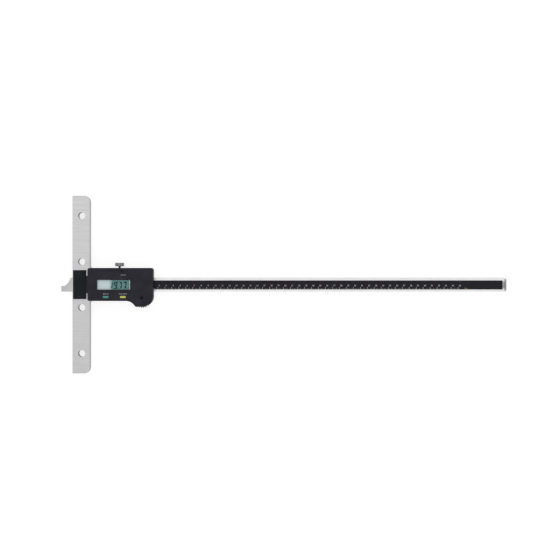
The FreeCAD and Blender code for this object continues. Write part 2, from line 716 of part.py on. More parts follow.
def housing():
    """Moulded cover of the display unit, open at the back, with its bosses, rails and openings."""
    body = doc.addObject("PartDesign::Body", "housing_body")
    outside = sketch_on(body, "housing_outline", FRONT)
    draw_outline(outside, unit_outline("0"))
    blank = pad(body, outside, "housing_blank", "housing_height")
    front = size(UNIT_FRONT)
    soften(body, blank, "rounded_front", "housing_edge", lambda edge: lies_at(edge, front))
    inside = sketch_on(body, "cavity_outline", FRONT)
    draw_outline(inside, unit_outline("housing_wall"))
    pocket(body, inside, "cavity", "housing_height - housing_wall")
    wheel_roof = f"({WHEEL_TOP} + free_gap)"
    tooth_wall = sketch_on(body, "tooth_wall_outline", wheel_roof)
    show_radius = "(wheel_radius - wheel_show)"
    draw_sector(tooth_wall, f"({show_radius} - housing_wall)", show_radius,
                "(wheel_show_from - 4)", "(wheel_show_to + 4)")
    pad(body, tooth_wall, "tooth_wall", f"{CEILING} - {wheel_roof}")
    bosses = sketch_on(body, "boss_outlines", FRONT)
    for x, y in cover_screw_places():
        draw_circle(bosses, x, y, "cover_boss")
    pad(body, bosses, "screw_bosses", f"{CEILING} - {FRONT}")
    rails = sketch_on(body, "rail_outlines", FRONT)
    rail = f"({TRAY_HALF} + fit_gap)"
    draw_rectangle(rails, (TRAY_LEFT, f"cell_rise + {rail}"),
                   (f"{INNER_RIGHT} + fit_gap", f"cell_rise + {rail} + rail_wall"))
    draw_rectangle(rails, (TRAY_LEFT, f"cell_rise - {rail} - rail_wall"),
                   (f"{INNER_RIGHT} + fit_gap", f"cell_rise - {rail}"))
    pad(body, rails, "tray_rails", f"{CEILING} - {FRONT}")
    axle_boss = sketch_on(body, "axle_boss_outline", BOSS_FOOT)
    draw_circle(axle_boss, "wheel_place", WHEEL_DROP, "boss_radius")
    pad(body, axle_boss, "axle_boss", f"{CEILING} - {BOSS_FOOT}")
    wheel_room = sketch_on(body, "wheel_room_outline", FRONT)
    draw_circle(wheel_room, "wheel_place", WHEEL_DROP, "wheel_radius + free_gap")
    pocket(body, wheel_room, "wheel_room", "wheel_lift + wheel_thick + free_gap")
    show_teeth(body, "tooth_opening", show_radius, FRONT, "2 * housing_height")
    axle_hole = sketch_on(body, "axle_bore_outline", FRONT)
    draw_circle(axle_hole, "wheel_place", WHEEL_DROP, "axle_radius + turn_gap")
    pocket(body, axle_hole, "axle_bore", "2 * housing_height")
    axle_seat = sketch_on(body, "axle_seat_outline", AXLE_HEAD_BACK)
    draw_circle(axle_seat, "wheel_place", WHEEL_DROP, "axle_head + fit_gap")
    pocket(body, axle_seat, "axle_seat", "housing_height")
    openings = sketch_on(body, "front_openings_outline", f"{CEILING} - button_flange")
    draw_rounded(openings, WINDOW_MIDDLE, "-window_drop", "window_length", "window_width", "button_corner")
    for where in FLAT_BUTTONS.values():
        draw_rounded(openings, where, "-button_drop", "(button_length + 2 * fit_gap)",
                     "(button_width + 2 * fit_gap)", "(button_corner + fit_gap)")
    draw_circle(openings, "origin_place", "origin_rise", "origin_radius + fit_gap")
    pocket(body, openings, "front_openings", "housing_height")
    dish = sketch_on(body, "origin_dish_outline", f"{UNIT_FRONT} - origin_dish_depth")
    draw_circle(dish, "origin_place", "origin_rise", "origin_dish")
    pocket(body, dish, "origin_dish_cut", "housing_height")
    tray_door = sketch_on(body, "tray_door_outline", FRONT)
    draw_rectangle(tray_door, (TRAY_LEFT, f"cell_rise - {rail}"),
                   ("housing_right + tray_face", f"cell_rise + {rail}"))
    pocket(body, tray_door, "tray_door", f"{TRAY_TOP} + fit_gap - {FRONT}")
    port_door = sketch_on(body, "port_door_outline", FRONT)
    draw_rectangle(port_door, ("port_left", f"{INNER_TOP} - fit_gap"),
                   ("port_left + port_length", "housing_top + housing_wall"))
    pocket(body, port_door, "port_door", "port_height + fit_gap")
    taps = sketch_on(body, "cover_taps_outline", f"{FRONT} - fit_gap")
    for x, y in cover_screw_places():
        draw_circle(taps, x, y, "cover_screw_shank")
    body.Tip = pocket(body, taps, "cover_taps", "cover_screw_bite + 2 * fit_gap")
    return node("housing", body)


def thumb_wheel():
    """Toothed wheel on a hub; its body stands on the wheel's axis."""
    body = doc.addObject("PartDesign::Body", "thumb_wheel_body")
    rim = sketch_on(body, "rim_outline", WHEEL_BACK)
    draw_circle(rim, "0", "0", "wheel_radius")
    pad(body, rim, "rim", "wheel_thick")
    hub = sketch_on(body, "hub_circle", RING_BACK)
    draw_circle(hub, "0", "0", "hub_radius")
    pad(body, hub, "hub", f"{WHEEL_BACK} - {RING_BACK}")
    bore = sketch_on(body, "bore_circle", f"{RING_BACK} - fit_gap")
    draw_circle(bore, "0", "0", "axle_radius + turn_gap")
    pocket(body, bore, "bore", "2 * housing_height")
    notch = sketch_on(body, "notch_circle", f"{WHEEL_BACK} - fit_gap")
    draw_circle(notch, "wheel_radius - wheel_notch / 2", "0", "wheel_notch")
    cut = pocket(body, notch, "notch", "wheel_thick + 2 * fit_gap")
    repeat_around(body, cut, "notches", "wheel_teeth", bore)
    place(body, "wheel_place", WHEEL_DROP, "0")
    return node("thumb_wheel", body)


def ring(name, height, inner, outer, thick):
    """Flat ring about the wheel's axis."""
    whole = rod(f"{name}_disc", ("wheel_place", WHEEL_DROP, height), outer, thick)
    hole = rod(f"{name}_hole", ("wheel_place", WHEEL_DROP, height), inner, thick)
    return carve(f"{name}_ring", whole, hole)


def wheel_fittings():
    """Friction ring on the hub, washer under the cover's boss, and the shouldered axle screw."""
    node("drive_ring", ring("drive", RING_BACK, "hub_radius", "drive_radius - nip_gap", "ring_height"))
    node("wheel_washer", ring("washer", f"{WHEEL_TOP} + slide_gap", "axle_radius + 2 * turn_gap",
                              "washer_radius", "washer_thick"))
    foot = f"({CHANNEL_FLOOR} - axle_root_depth + fit_gap)"
    root = rod("axle_root_bar", ("wheel_place", WHEEL_DROP, foot), "axle_root", f"{CHANNEL_FLOOR} - {foot}")
    shoulder = rod("axle_shoulder", ("wheel_place", WHEEL_DROP, CHANNEL_FLOOR), "axle_radius",
                   f"{AXLE_HEAD_BACK} - {CHANNEL_FLOOR}")
    head = rod("axle_head_disc", ("wheel_place", WHEEL_DROP, AXLE_HEAD_BACK), "axle_head", "axle_head_height")
    slot = block(
        "axle_slot_cut",
        ("wheel_place - 2 * axle_head", f"{WHEEL_DROP} - axle_slot / 2",
         f"{UNIT_FRONT} - axle_sink - axle_slot"),
        ("wheel_place + 2 * axle_head", f"{WHEEL_DROP} + axle_slot / 2", UNIT_FRONT))
    node("wheel_axle", carve("wheel_axle_slotted", join("wheel_axle_blank", root, shoulder, head), slot))


def board_screw_spots():
    """Where the four screws pass through both boards."""
    return [
        (end, f"{side} * board_screw_pitch / 2")
        for end in ("board_screw_left", "board_screw_right")
        for side in (-1, 1)
    ]


def board(label, width, low):
    """Circuit board across the beam, drilled for the four screws."""
    blank = block(f"{label}_blank", ("board_left", f"-{width} / 2", low),
                  ("board_right", f"{width} / 2", f"{low} + board_thick"))
    ways = [
        rod(f"{label}_way_{index}", (x, y, low), "board_screw_shank + turn_gap", "board_thick")
        for index, (x, y) in enumerate(board_screw_spots())
    ]
    node(label, carve(f"{label}_drilled", blank, *ways))


def electronics():
    """Boards, spacers, screws, chip, display panel, its contact strips and the window."""
    board("reading_board", "reader_width", FRONT)
    board("main_board", "board_width", BOARD_BACK)
    spacers = []
    screws = []
    for index, (x, y) in enumerate(board_screw_spots()):
        tube = rod(f"spacer_{index}", (x, y, READER_TOP), "spacer_radius", "spacer_height")
        way = rod(f"spacer_way_{index}", (x, y, READER_TOP), "board_screw_shank + turn_gap", "spacer_height")
        spacers.append(carve(f"spacer_tube_{index}", tube, way))
        shank = rod(f"board_shank_{index}", (x, y, f"{FRONT} - board_screw_bite"), "board_screw_shank",
                    f"{BOARD_TOP} - {FRONT} + board_screw_bite")
        head = rod(f"board_head_{index}", (x, y, BOARD_TOP), "board_screw_head", "board_screw_cap")
        screws.append(join(f"board_screw_{index}", shank, head))
    node("board_spacers", group("spacer_set", spacers))
    node("board_screws", group("board_screw_set", screws))
    node("controller_chip", block(
        "chip", (f"{WINDOW_MIDDLE} - chip_side / 2", "-window_drop - chip_side / 2", BOARD_TOP),
        (f"{WINDOW_MIDDLE} + chip_side / 2", "-window_drop + chip_side / 2", f"{BOARD_TOP} + chip_thick")))
    node("lcd_panel", block(
        "panel", (f"{WINDOW_MIDDLE} - lcd_length / 2", "-window_drop - lcd_width / 2", LCD_BACK),
        (f"{WINDOW_MIDDLE} + lcd_length / 2", "-window_drop + lcd_width / 2", LCD_TOP)))
    strips = []
    for side in (-1, 1):
        middle = f"(-window_drop + {side} * (lcd_width / 2 - strip_width))"
        strips.append(block(
            f"contact_strip_{side}",
            (f"{WINDOW_MIDDLE} - strip_length / 2", f"{middle} - strip_width / 2", BOARD_TOP),
            (f"{WINDOW_MIDDLE} + strip_length / 2", f"{middle} + strip_width / 2", LCD_BACK)))
    node("contact_strips", group("contact_strip_pair", strips))
    window = doc.addObject("PartDesign::Body", "window_body")
    flange = sketch_on(window, "window_flange_outline", WINDOW_BACK)
    draw_rounded(flange, WINDOW_MIDDLE, "-window_drop", "(window_length + 2 * window_lip)",
                 "(window_width + 2 * window_lip)", "button_corner")
    pad(window, flange, "window_flange_plate", "window_flange")
    lens = sketch_on(window, "window_lens_outline", WINDOW_BACK)
    draw_rounded(lens, WINDOW_MIDDLE, "-window_drop", "(window_length - fit_gap)",
                 "(window_width - fit_gap)", "(button_corner - fit_gap / 2)")
    window.Tip = pad(window, lens, "window_lens", f"{UNIT_FRONT} - window_sink - {WINDOW_BACK}")
    node("display_window", window)


def buttons():
    """Two flat buttons, the sunk origin button, and the rubber keypad under them."""
    flange_back = f"({CEILING} - slide_gap - button_flange_thick)"
    domes = []
    for label, where in FLAT_BUTTONS.items():
        body = doc.addObject("PartDesign::Body", f"{label}_body")
        stem = sketch_on(body, f"{label}_stem_outline", BUTTON_FOOT)
        draw_rounded(stem, where, "-button_drop", "button_length", "button_width", "button_corner")
        pad(body, stem, f"{label}_stem", f"{UNIT_FRONT} + button_proud - {BUTTON_FOOT}")
        rim = sketch_on(body, f"{label}_rim_outline", flange_back)
        draw_rounded(rim, where, "-button_drop", "(button_length + 2 * button_flange)",
                     "(button_width + 2 * button_flange)", "button_corner")
        body.Tip = pad(body, rim, f"{label}_rim", "button_flange_thick")
        node(label, body)
        domes.append(rod(f"{label}_dome", (where, "-button_drop", BOARD_TOP), "keypad_dome", "keypad_height"))
    stem = rod("origin_stem", ("origin_place", "origin_rise", BUTTON_FOOT), "origin_radius",
               f"{ORIGIN_TOP} - {BUTTON_FOOT}")
    rim = rod("origin_rim", ("origin_place", "origin_rise", flange_back), "origin_radius + button_flange",
              "button_flange_thick")
    node("origin_button", join("origin_button_whole", stem, rim))
    mat = block(
        "keypad_mat", ("zero_place - button_length", "-button_drop - keypad_width / 2", BOARD_TOP),
        ("power_place + button_length", "-button_drop + keypad_width / 2", f"{BOARD_TOP} + keypad_base"))
    origin_mat = block(
        "origin_mat", ("origin_place - keypad_width / 2", "origin_rise - keypad_width / 2", BOARD_TOP),
        ("origin_place + keypad_width / 2", "origin_rise + keypad_width / 2", f"{BOARD_TOP} + keypad_base"))
    origin_dome = rod("origin_dome", ("origin_place", "origin_rise", BOARD_TOP), "keypad_dome",
                      "keypad_height")
    long_mat = join("keypad_long", mat, *domes)
    short_mat = join("keypad_short", origin_mat, origin_dome)
    node("keypad", group("keypad_pair", [long_mat, short_mat]))


def power_supply():
    """Button cell, the tray that draws it out to the right, and the two contacts."""
    tray = block("tray_blank", (TRAY_LEFT, f"cell_rise - {TRAY_HALF}", TRAY_BACK),
                 (INNER_RIGHT, f"cell_rise + {TRAY_HALF}", CELL_TOP))
    face = block("tray_front", (INNER_RIGHT, f"cell_rise - {TRAY_HALF}", TRAY_BACK),
                 ("housing_right", f"cell_rise + {TRAY_HALF}", TRAY_TOP))
    well = rod("tray_well", (CELL_PLACE, "cell_rise", CELL_BACK), "cell_radius + fit_gap", "2 * cell_thick")
    gate = block(
        "tray_gate", (f"{TRAY_LEFT} - tray_wall", "cell_rise - contact_width / 2 - free_gap", CELL_BACK),
        (f"{CELL_PLACE} - cell_radius / 2", "cell_rise + contact_width / 2 + free_gap",
         f"{CELL_TOP} + tray_wall"))
    node("battery_tray", carve("battery_tray_cut", join("battery_tray_blank", tray, face), well, gate))
    node("battery_cell", rod("cell", (CELL_PLACE, "cell_rise", CELL_BACK), "cell_radius", "cell_thick"))
    side = f"({CELL_PLACE} - cell_radius - fit_gap - contact_thick)"
    low, high = "cell_rise - contact_width / 2", "cell_rise + contact_width / 2"
    side_leaf = block("side_leaf", (side, low, f"{CELL_BACK} + free_gap"),
                      (f"{side} + contact_thick", high, CEILING))
    leaf_back = f"({CELL_TOP} + fit_gap)"
    riser = f"({side} + 2 * contact_thick)"
    top_leaf = join(
        "top_leaf",
        block("top_leaf_blade", (riser, low, leaf_back), (CELL_PLACE, high, f"{leaf_back} + contact_thick")),
        block("top_leaf_riser", (riser, low, leaf_back), (f"{riser} + contact_thick", high, CEILING)))
    node("cell_contacts", group("contact_pair", [side_leaf, top_leaf]))


def data_port():
    """Data output socket on the frame, behind its cap in the top wall."""
    middle = "(port_left + port_length / 2)"
    height = f"({FRONT} + port_height / 2)"
    back = f"({INNER_TOP} - port_depth)"
    shell = block("port_shell", ("port_left", back, FRONT),
                  ("port_left + port_length", INNER_TOP, f"{FRONT} + port_height"))
    slot = block(
        "port_slot",
        (f"{middle} - port_slot_length / 2", f"{back} + rail_wall", f"{height} - port_slot_height / 2"),
        (f"{middle} + port_slot_length / 2", "housing_top", f"{height} + port_slot_height / 2"))
    node("port_connector", carve("port_connector_cut", shell, slot))
    plate = block("cap_plate", ("port_left + fit_gap", f"{INNER_TOP} + fit_gap", f"{FRONT} + fit_gap"),
                  ("port_left + port_length - fit_gap", "housing_top", f"{FRONT} + port_height"))
    stub = block(
        "cap_stub_bar",
        (f"{middle} - port_slot_length / 2 + fit_gap", f"{INNER_TOP} - cap_stub",
         f"{height} - port_slot_height / 2 + fit_gap"),
        (f"{middle} + port_slot_length / 2 - fit_gap", f"{INNER_TOP} + fit_gap",
         f"{height} + port_slot_height / 2 - fit_gap"))
    node("port_cap", join("port_cap_whole", plate, stub))


def cover_screws():
    """Screws from the back of the frame into the cover's bosses."""
    back = f"(-{FRONT})"
    screws = []
    for index, (x, y) in enumerate(cover_screw_places()):
        head = rod(f"cover_head_{index}", (x, y, f"{back} + fit_gap"), "cover_screw_head",
                   "cover_screw_sink - fit_gap")
        shank = rod(f"cover_shank_{index}", (x, y, f"{back} + cover_screw_sink"), "cover_screw_shank",
                    "base_thick - cover_screw_sink + cover_screw_bite")
        screws.append(join(f"cover_screw_{index}", head, shank))
    node("housing_screws", group("cover_screw_set", screws))


def check_model():
    """Stop if a feature failed, a cut took nothing away, or a piece isn't a valid solid."""
    for thing in doc.Objects:
        if {"Invalid", "Error"} & set(thing.State):
            raise RuntimeError(f"{thing.Name} failed: {thing.State}")
    for cut in CUTS:
        if cut.Shape.Volume >= cut.BaseFeature.Shape.Volume - 1e-6:
            raise RuntimeError(f"{cut.Name} cuts nothing")
    for thing in NODES:
        if thing.Shape.isNull() or not thing.Shape.isValid() or not thing.Shape.Solids:
            raise RuntimeError(f"{thing.Label} isn't a valid solid")


base_frame()
beam_blade()
beam_fittings()
base_fittings()
gib_and_clamp()
housing()
thumb_wheel()
wheel_fittings()
electronics()
buttons()
power_supply()
data_port()
cover_screws()
doc.recompute()
check_model()

os.makedirs("parts", exist_ok=True)
for piece in NODES:
    piece.Shape.exportStep(f"parts/{piece.Label}.step")
    print(piece.Label, len(piece.Shape.Solids), round(piece.Shape.Volume, 2))
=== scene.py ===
"""Looks of the digital depth gauge: finishes, graduations, display digits, knurls and screw heads.

Everything is in metres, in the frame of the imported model: X along the beam from the base's measuring
face, Y along the base, Z out of the display.
"""

import logging
import math
from dataclasses import dataclass, field
from enum import Enum
from typing import Any, Callable, Dict, Optional, Sequence, Tuple

import bmesh
import bpy
import numpy as np
from mathutils import Matrix, Vector


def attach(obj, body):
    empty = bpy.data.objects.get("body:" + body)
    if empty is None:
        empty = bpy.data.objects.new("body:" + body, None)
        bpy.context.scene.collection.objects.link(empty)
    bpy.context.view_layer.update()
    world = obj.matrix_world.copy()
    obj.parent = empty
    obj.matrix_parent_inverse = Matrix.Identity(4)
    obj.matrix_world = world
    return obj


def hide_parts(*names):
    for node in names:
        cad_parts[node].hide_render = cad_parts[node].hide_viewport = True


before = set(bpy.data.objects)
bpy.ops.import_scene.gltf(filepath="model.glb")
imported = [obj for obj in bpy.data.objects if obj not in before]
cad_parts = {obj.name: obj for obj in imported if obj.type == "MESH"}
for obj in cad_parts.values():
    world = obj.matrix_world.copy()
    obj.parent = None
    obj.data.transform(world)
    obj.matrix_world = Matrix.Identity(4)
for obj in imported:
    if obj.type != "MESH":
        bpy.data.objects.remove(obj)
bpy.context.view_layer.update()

MM = 0.001
SHARP_ANGLE = math.radians(40)  # faces that meet at more than this keep a sharp or bevelled edge
FLAT_ANGLE = math.radians(1.5)  # faces that meet at less than this are one face
WELD = 0.001 * MM  # corners of a CAD mesh that lie closer than this are one corner
PRINT_WELD = 0.0001 * MM  # the same for the small shapes of letters
Point = Tuple[float, float, float]
Relief = Callable[[np.ndarray, np.ndarray, np.ndarray], np.ndarray]
log = logging.getLogger("depth_gauge")


class Along(Enum):
    """Direction in which a finish was worked."""

    X = 0
    Y = 1
    Z = 2


class Layer(Enum):
    """Heights of thin printed layers over the surface that carries them, in metres."""

    PRINT = 0.03 * MM
    DIGIT = 0.05 * MM


def linear(hex_colour: str) -> Tuple[float, float, float, float]:
    """Turns an sRGB hex colour to linear light.

    Args:
        hex_colour: six hex digits.

    Returns:
        Red, green, blue and an alpha of 1.
    """
    channels = [int(hex_colour[i:i + 2], 16) / 255 for i in (0, 2, 4)]
    red, green, blue = [c / 12.92 if c <= 0.04045 else ((c + 0.055) / 1.055) ** 2.4 for c in channels]
    return red, green, blue, 1.0


def add_node(tree: bpy.types.NodeTree, kind: str, links: Optional[Dict[Any, Any]] = None,
             **settings: Any) -> bpy.types.Node:
    """Adds a shader node.

    Args:
        tree: the material's node tree.
        kind: Blender's name of the node type.
        links: input name or number to an output socket, which is linked, or to a value, which is set.
        settings: attributes of the node.

    Returns:
        The new node.
    """
    node = tree.nodes.new(kind)
    for name, value in settings.items():
        setattr(node, name, value)
    for name, value in (links or {}).items():
        if isinstance(value, bpy.types.NodeSocket):
            tree.links.new(value, node.inputs[name])
        else:
            node.inputs[name].default_value = value
    return node


def new_material(name: str) -> Tuple[bpy.types.Material, bpy.types.NodeTree, bpy.types.NodeSocket]:
    """Makes an empty node material.

    Args:
        name: what the real material is.

    Returns:
        The material, its tree, and the Object coordinates in metres.
    """
    material = bpy.data.materials.new(name)
    material.use_nodes = True
    tree = material.node_tree
    tree.nodes.clear()
    place = add_node(tree, "ShaderNodeTexCoord")
    return material, tree, place.outputs["Object"]


def stretched(tree: bpy.types.NodeTree, place: bpy.types.NodeSocket, fine: float, long: float,
              along: Along) -> bpy.types.NodeSocket:
    """Coordinates in which a pattern is fine across one direction and drawn out along it.

    Args:
        tree: the material's node tree.
        place: coordinates in metres.
        fine: size of the pattern across the direction, in metres.
        long: size of the pattern along the direction, in metres.
        along: the direction.

    Returns:
        The scaled coordinates.
    """
    scale = [1 / fine] * 3
    scale[along.value] = 1 / long
    mapping = add_node(tree, "ShaderNodeMapping", {"Vector": place, "Scale": scale})
    return mapping.outputs["Vector"]


def ramp(tree: bpy.types.NodeTree, value: bpy.types.NodeSocket, low: float, high: float,
         to_low: float, to_high: float) -> bpy.types.NodeSocket:
    """Carries a value from one range to another, held at its ends.

    Args:
        tree: the material's node tree.
        value: the value.
        low: where the range starts.
        high: where the range ends.
        to_low: result at the start.
        to_high: result at the end.

    Returns:
        The result.
    """
    node = add_node(tree, "ShaderNodeMapRange", {
        "Value": value, "From Min": low, "From Max": high, "To Min": to_low, "To Max": to_high})
    return node.outputs["Result"]


def blend_colours(tree: bpy.types.NodeTree, share: bpy.types.NodeSocket, first: Any,
                  second: Any) -> bpy.types.NodeSocket:
    """Mixes two colours.

    Args:
        tree: the material's node tree.
        share: share of the second colour, from 0 to 1.
        first: a colour or an output socket.
        second: a colour or an output socket.

    Returns:
        The mixed colour.
    """
    node = add_node(tree, "ShaderNodeMix", {0: share, 6: first, 7: second}, data_type="RGBA")
    return node.outputs[2]


@dataclass(frozen=True)
class WorkedMetal:
    """Metal whose grinding, turning or drawing left fine lines.

    The lines are a noise drawn out along the work's direction. They lift the surface a little and
    vary its roughness, and a second, coarser noise gives the uneven tone that the passes of the tool
    leave, in bands of their own width and run. A wheel's or tool's real lines are 0.02 to 0.05 mm
    apart. They are drawn several times as coarse, as each finish says in line_mm, because finer
    ones would blur to a flat grey in the render.
    """

    name: str
    colour: str
    shade: str
    roughness: float = 0.34
    line_mm: float = 0.12
    run_mm: float = 14.0
    along: Along = Along.X
    relief: float = 0.12
    scratch: float = 0.5
    band_mm: float = 9.0
    band_run_mm: float = 9.0

    def tint(self, tree: bpy.types.NodeTree, place: bpy.types.NodeSocket,
             colour: bpy.types.NodeSocket) -> bpy.types.NodeSocket:
        """Last change of the colour, which plain worked metal leaves as it is."""
        return colour

    def build(self) -> bpy.types.Material:
        """Builds the material.

        Returns:
            The finished material.
        """
        material, tree, place = new_material(self.name)
        lines = add_node(tree, "ShaderNodeTexNoise", {
            "Vector": stretched(tree, place, self.line_mm * MM, self.run_mm * MM, self.along),
            "Scale": 1.0, "Detail": 5.0, "Roughness": 0.65})
        bands = add_node(tree, "ShaderNodeTexNoise", {
            "Vector": stretched(tree, place, self.band_mm * MM, self.band_run_mm * MM, self.along),
            "Scale": 1.0, "Detail": 3.0})
        # Long single scratches: the rare peaks of a noise drawn out three times further
        scratches = add_node(tree, "ShaderNodeTexNoise", {
            "Vector": stretched(tree, place, self.line_mm * 2.2 * MM, self.run_mm * 3 * MM, self.along),
            "Scale": 1.0, "Detail": 1.0})
        scratch = ramp(tree, scratches.outputs[0], 0.66, 0.72, 0.0, self.scratch)
        tone = add_node(tree, "ShaderNodeMath", {
            0: ramp(tree, lines.outputs[0], 0.3, 0.7, 0.0, 0.62),
            1: ramp(tree, bands.outputs[0], 0.3, 0.7, 0.0, 0.38)}, operation="ADD")
        colour = blend_colours(tree, tone.outputs[0], linear(self.shade), linear(self.colour))
        scratched = blend_colours(tree, scratch, colour, linear(self.shade))
        roughness = ramp(tree, tone.outputs[0], 0.0, 1.0, self.roughness + 0.08, self.roughness - 0.06)
        height = add_node(tree, "ShaderNodeMath", {0: lines.outputs[0], 1: scratch}, operation="SUBTRACT")
        bump = add_node(tree, "ShaderNodeBump", {
            "Height": height.outputs[0], "Strength": self.relief, "Distance": 0.05 * MM})
        shader = add_node(tree, "ShaderNodeBsdfPrincipled", {
            "Base Color": self.tint(tree, place, scratched), "Metallic": 1.0, "Roughness": roughness,
            "Normal": bump.outputs[0]})
        add_node(tree, "ShaderNodeOutputMaterial", {"Surface": shader.outputs[0]})
        return material


@dataclass(frozen=True)
class GroundBar(WorkedMetal):
    """Ground steel bar with painted shade on its upright sides, and darker painted shade in its drilled bores.

    The painted shade lies where the surface stands upright, and ends at the ground measuring face, which is
    the plane where X is 0. A bore is where the distance from a hole's axis is within its radius;
    the axes stand half a pitch to either side of each whole number of pitches.
    """

    # Colours of painted shade: on the upright sides, and darker inside the bores
    skin: str = "929294"
    bored: str = "2c2c2e"
    bore_x: float = 13.2 * MM
    bore_pitch: float = 65.8 * MM
    bore_radius: float = 5.0 * MM

    def tint(self, tree: bpy.types.NodeTree, place: bpy.types.NodeSocket,
             colour: bpy.types.NodeSocket) -> bpy.types.NodeSocket:
        """Paints shade on upright faces away from the measuring face, darker still in the bores.

        Args:
            tree: the material's node tree.
            place: coordinates in metres.
            colour: the ground surface's colour.

        Returns:
            The colour with its painted shade.
        """
        facing = add_node(tree, "ShaderNodeTexCoord")
        normal = add_node(tree, "ShaderNodeSeparateXYZ", {0: facing.outputs["Normal"]})
        lift = add_node(tree, "ShaderNodeMath", {0: normal.outputs[2]}, operation="ABSOLUTE")
        upright = ramp(tree, lift.outputs[0], 0.5, 0.95, 1.0, 0.0)
        apart = add_node(tree, "ShaderNodeSeparateXYZ", {0: place})
        away = ramp(tree, apart.outputs[0], 0.2 * MM, 0.7 * MM, 0.0, 1.0)
        side = add_node(tree, "ShaderNodeMath", {0: upright, 1: away}, operation="MULTIPLY")
        across = add_node(tree, "ShaderNodeMath", {0: apart.outputs[0], 1: self.bore_x}, operation="SUBTRACT")
        turn = add_node(tree, "ShaderNodeMath", {0: apart.outputs[1], 1: self.bore_pitch, 2: 0.0},
                        operation="WRAP")
        along = add_node(tree, "ShaderNodeMath", {0: turn.outputs[0], 1: self.bore_pitch / 2},
                         operation="SUBTRACT")
        reach = add_node(tree, "ShaderNodeCombineXYZ", {0: across.outputs[0], 1: along.outputs[0]})
        distance = add_node(tree, "ShaderNodeVectorMath", {0: reach.outputs[0]}, operation="LENGTH")
        bore = ramp(tree, distance.outputs["Value"], self.bore_radius + 0.2 * MM, self.bore_radius + 0.5 * MM,
                    1.0, 0.0)
        # Painted shade: the sides' colour, turning darker inside the bores
        skin = blend_colours(tree, bore, linear(self.skin), linear(self.bored))
        return blend_colours(tree, side.outputs[0], colour, skin)


@dataclass(frozen=True)
class HardenedBeam(WorkedMetal):
    """Bright lapped beam that turns greyer towards its measuring end."""

    # Colour of the greyer measuring end
    hard: str = "a4a4a5"
    hard_to: float = 3.0 * MM
    fade: float = 9.0 * MM

    def tint(self, tree: bpy.types.NodeTree, place: bpy.types.NodeSocket,
             colour: bpy.types.NodeSocket) -> bpy.types.NodeSocket:
        """Turns the end of the beam grey, with a soft boundary.

        Args:
            tree: the material's node tree.
            place: coordinates in metres.
            colour: the lapped surface's colour.

        Returns:
            The colour with its grey end.
        """
        apart = add_node(tree, "ShaderNodeSeparateXYZ", {0: place})
        share = ramp(tree, apart.outputs[0], self.hard_to, self.hard_to + self.fade, 0.85, 0.0)
        return blend_colours(tree, share, colour, linear(self.hard))


@dataclass(frozen=True)
class KnurledMetal(WorkedMetal):
    """Turned steel whose knurl carries painted shade, which darkens it from the crests inwards.

    The darkening follows the distance from the screw's axis, which runs along Y.
    """

    # Colour of the painted shade in the knurl's grooves
    oil: str = "2b2a2e"
    axis_x: float = 0.0
    axis_z: float = 0.0
    crest: float = 1.0 * MM
    root: float = 0.5 * MM

    def tint(self, tree: bpy.types.NodeTree, place: bpy.types.NodeSocket,
             colour: bpy.types.NodeSocket) -> bpy.types.NodeSocket:
        """Paints shade into the grooves of the knurl but not on the flat ends.

        Args:
            tree: the material's node tree.
            place: coordinates in metres.
            colour: the turned surface's colour.

        Returns:
            The colour with its painted groove shade.
        """
        axis = add_node(tree, "ShaderNodeVectorMath", {0: place, 1: (self.axis_x, 0, self.axis_z)},
                        operation="SUBTRACT")
        flat = add_node(tree, "ShaderNodeVectorMath", {0: axis.outputs[0], 1: (1, 0, 1)},
                        operation="MULTIPLY")
        reach = add_node(tree, "ShaderNodeVectorMath", {0: flat.outputs[0]}, operation="LENGTH")
        # Painted shade: deepest towards the groove roots, none on the flat ends
        deep = ramp(tree, reach.outputs["Value"], self.root, self.crest, 0.85, 0.0)
        facing = add_node(tree, "ShaderNodeTexCoord")
        turned = add_node(tree, "ShaderNodeSeparateXYZ", {0: facing.outputs["Normal"]})
        lift = add_node(tree, "ShaderNodeMath", {0: turned.outputs[1]}, operation="ABSOLUTE")
        rim = ramp(tree, lift.outputs[0], 0.3, 0.6, 1.0, 0.0)
        share = add_node(tree, "ShaderNodeMath", {0: deep, 1: rim}, operation="MULTIPLY")
        return blend_colours(tree, share.outputs[0], colour, linear(self.oil))


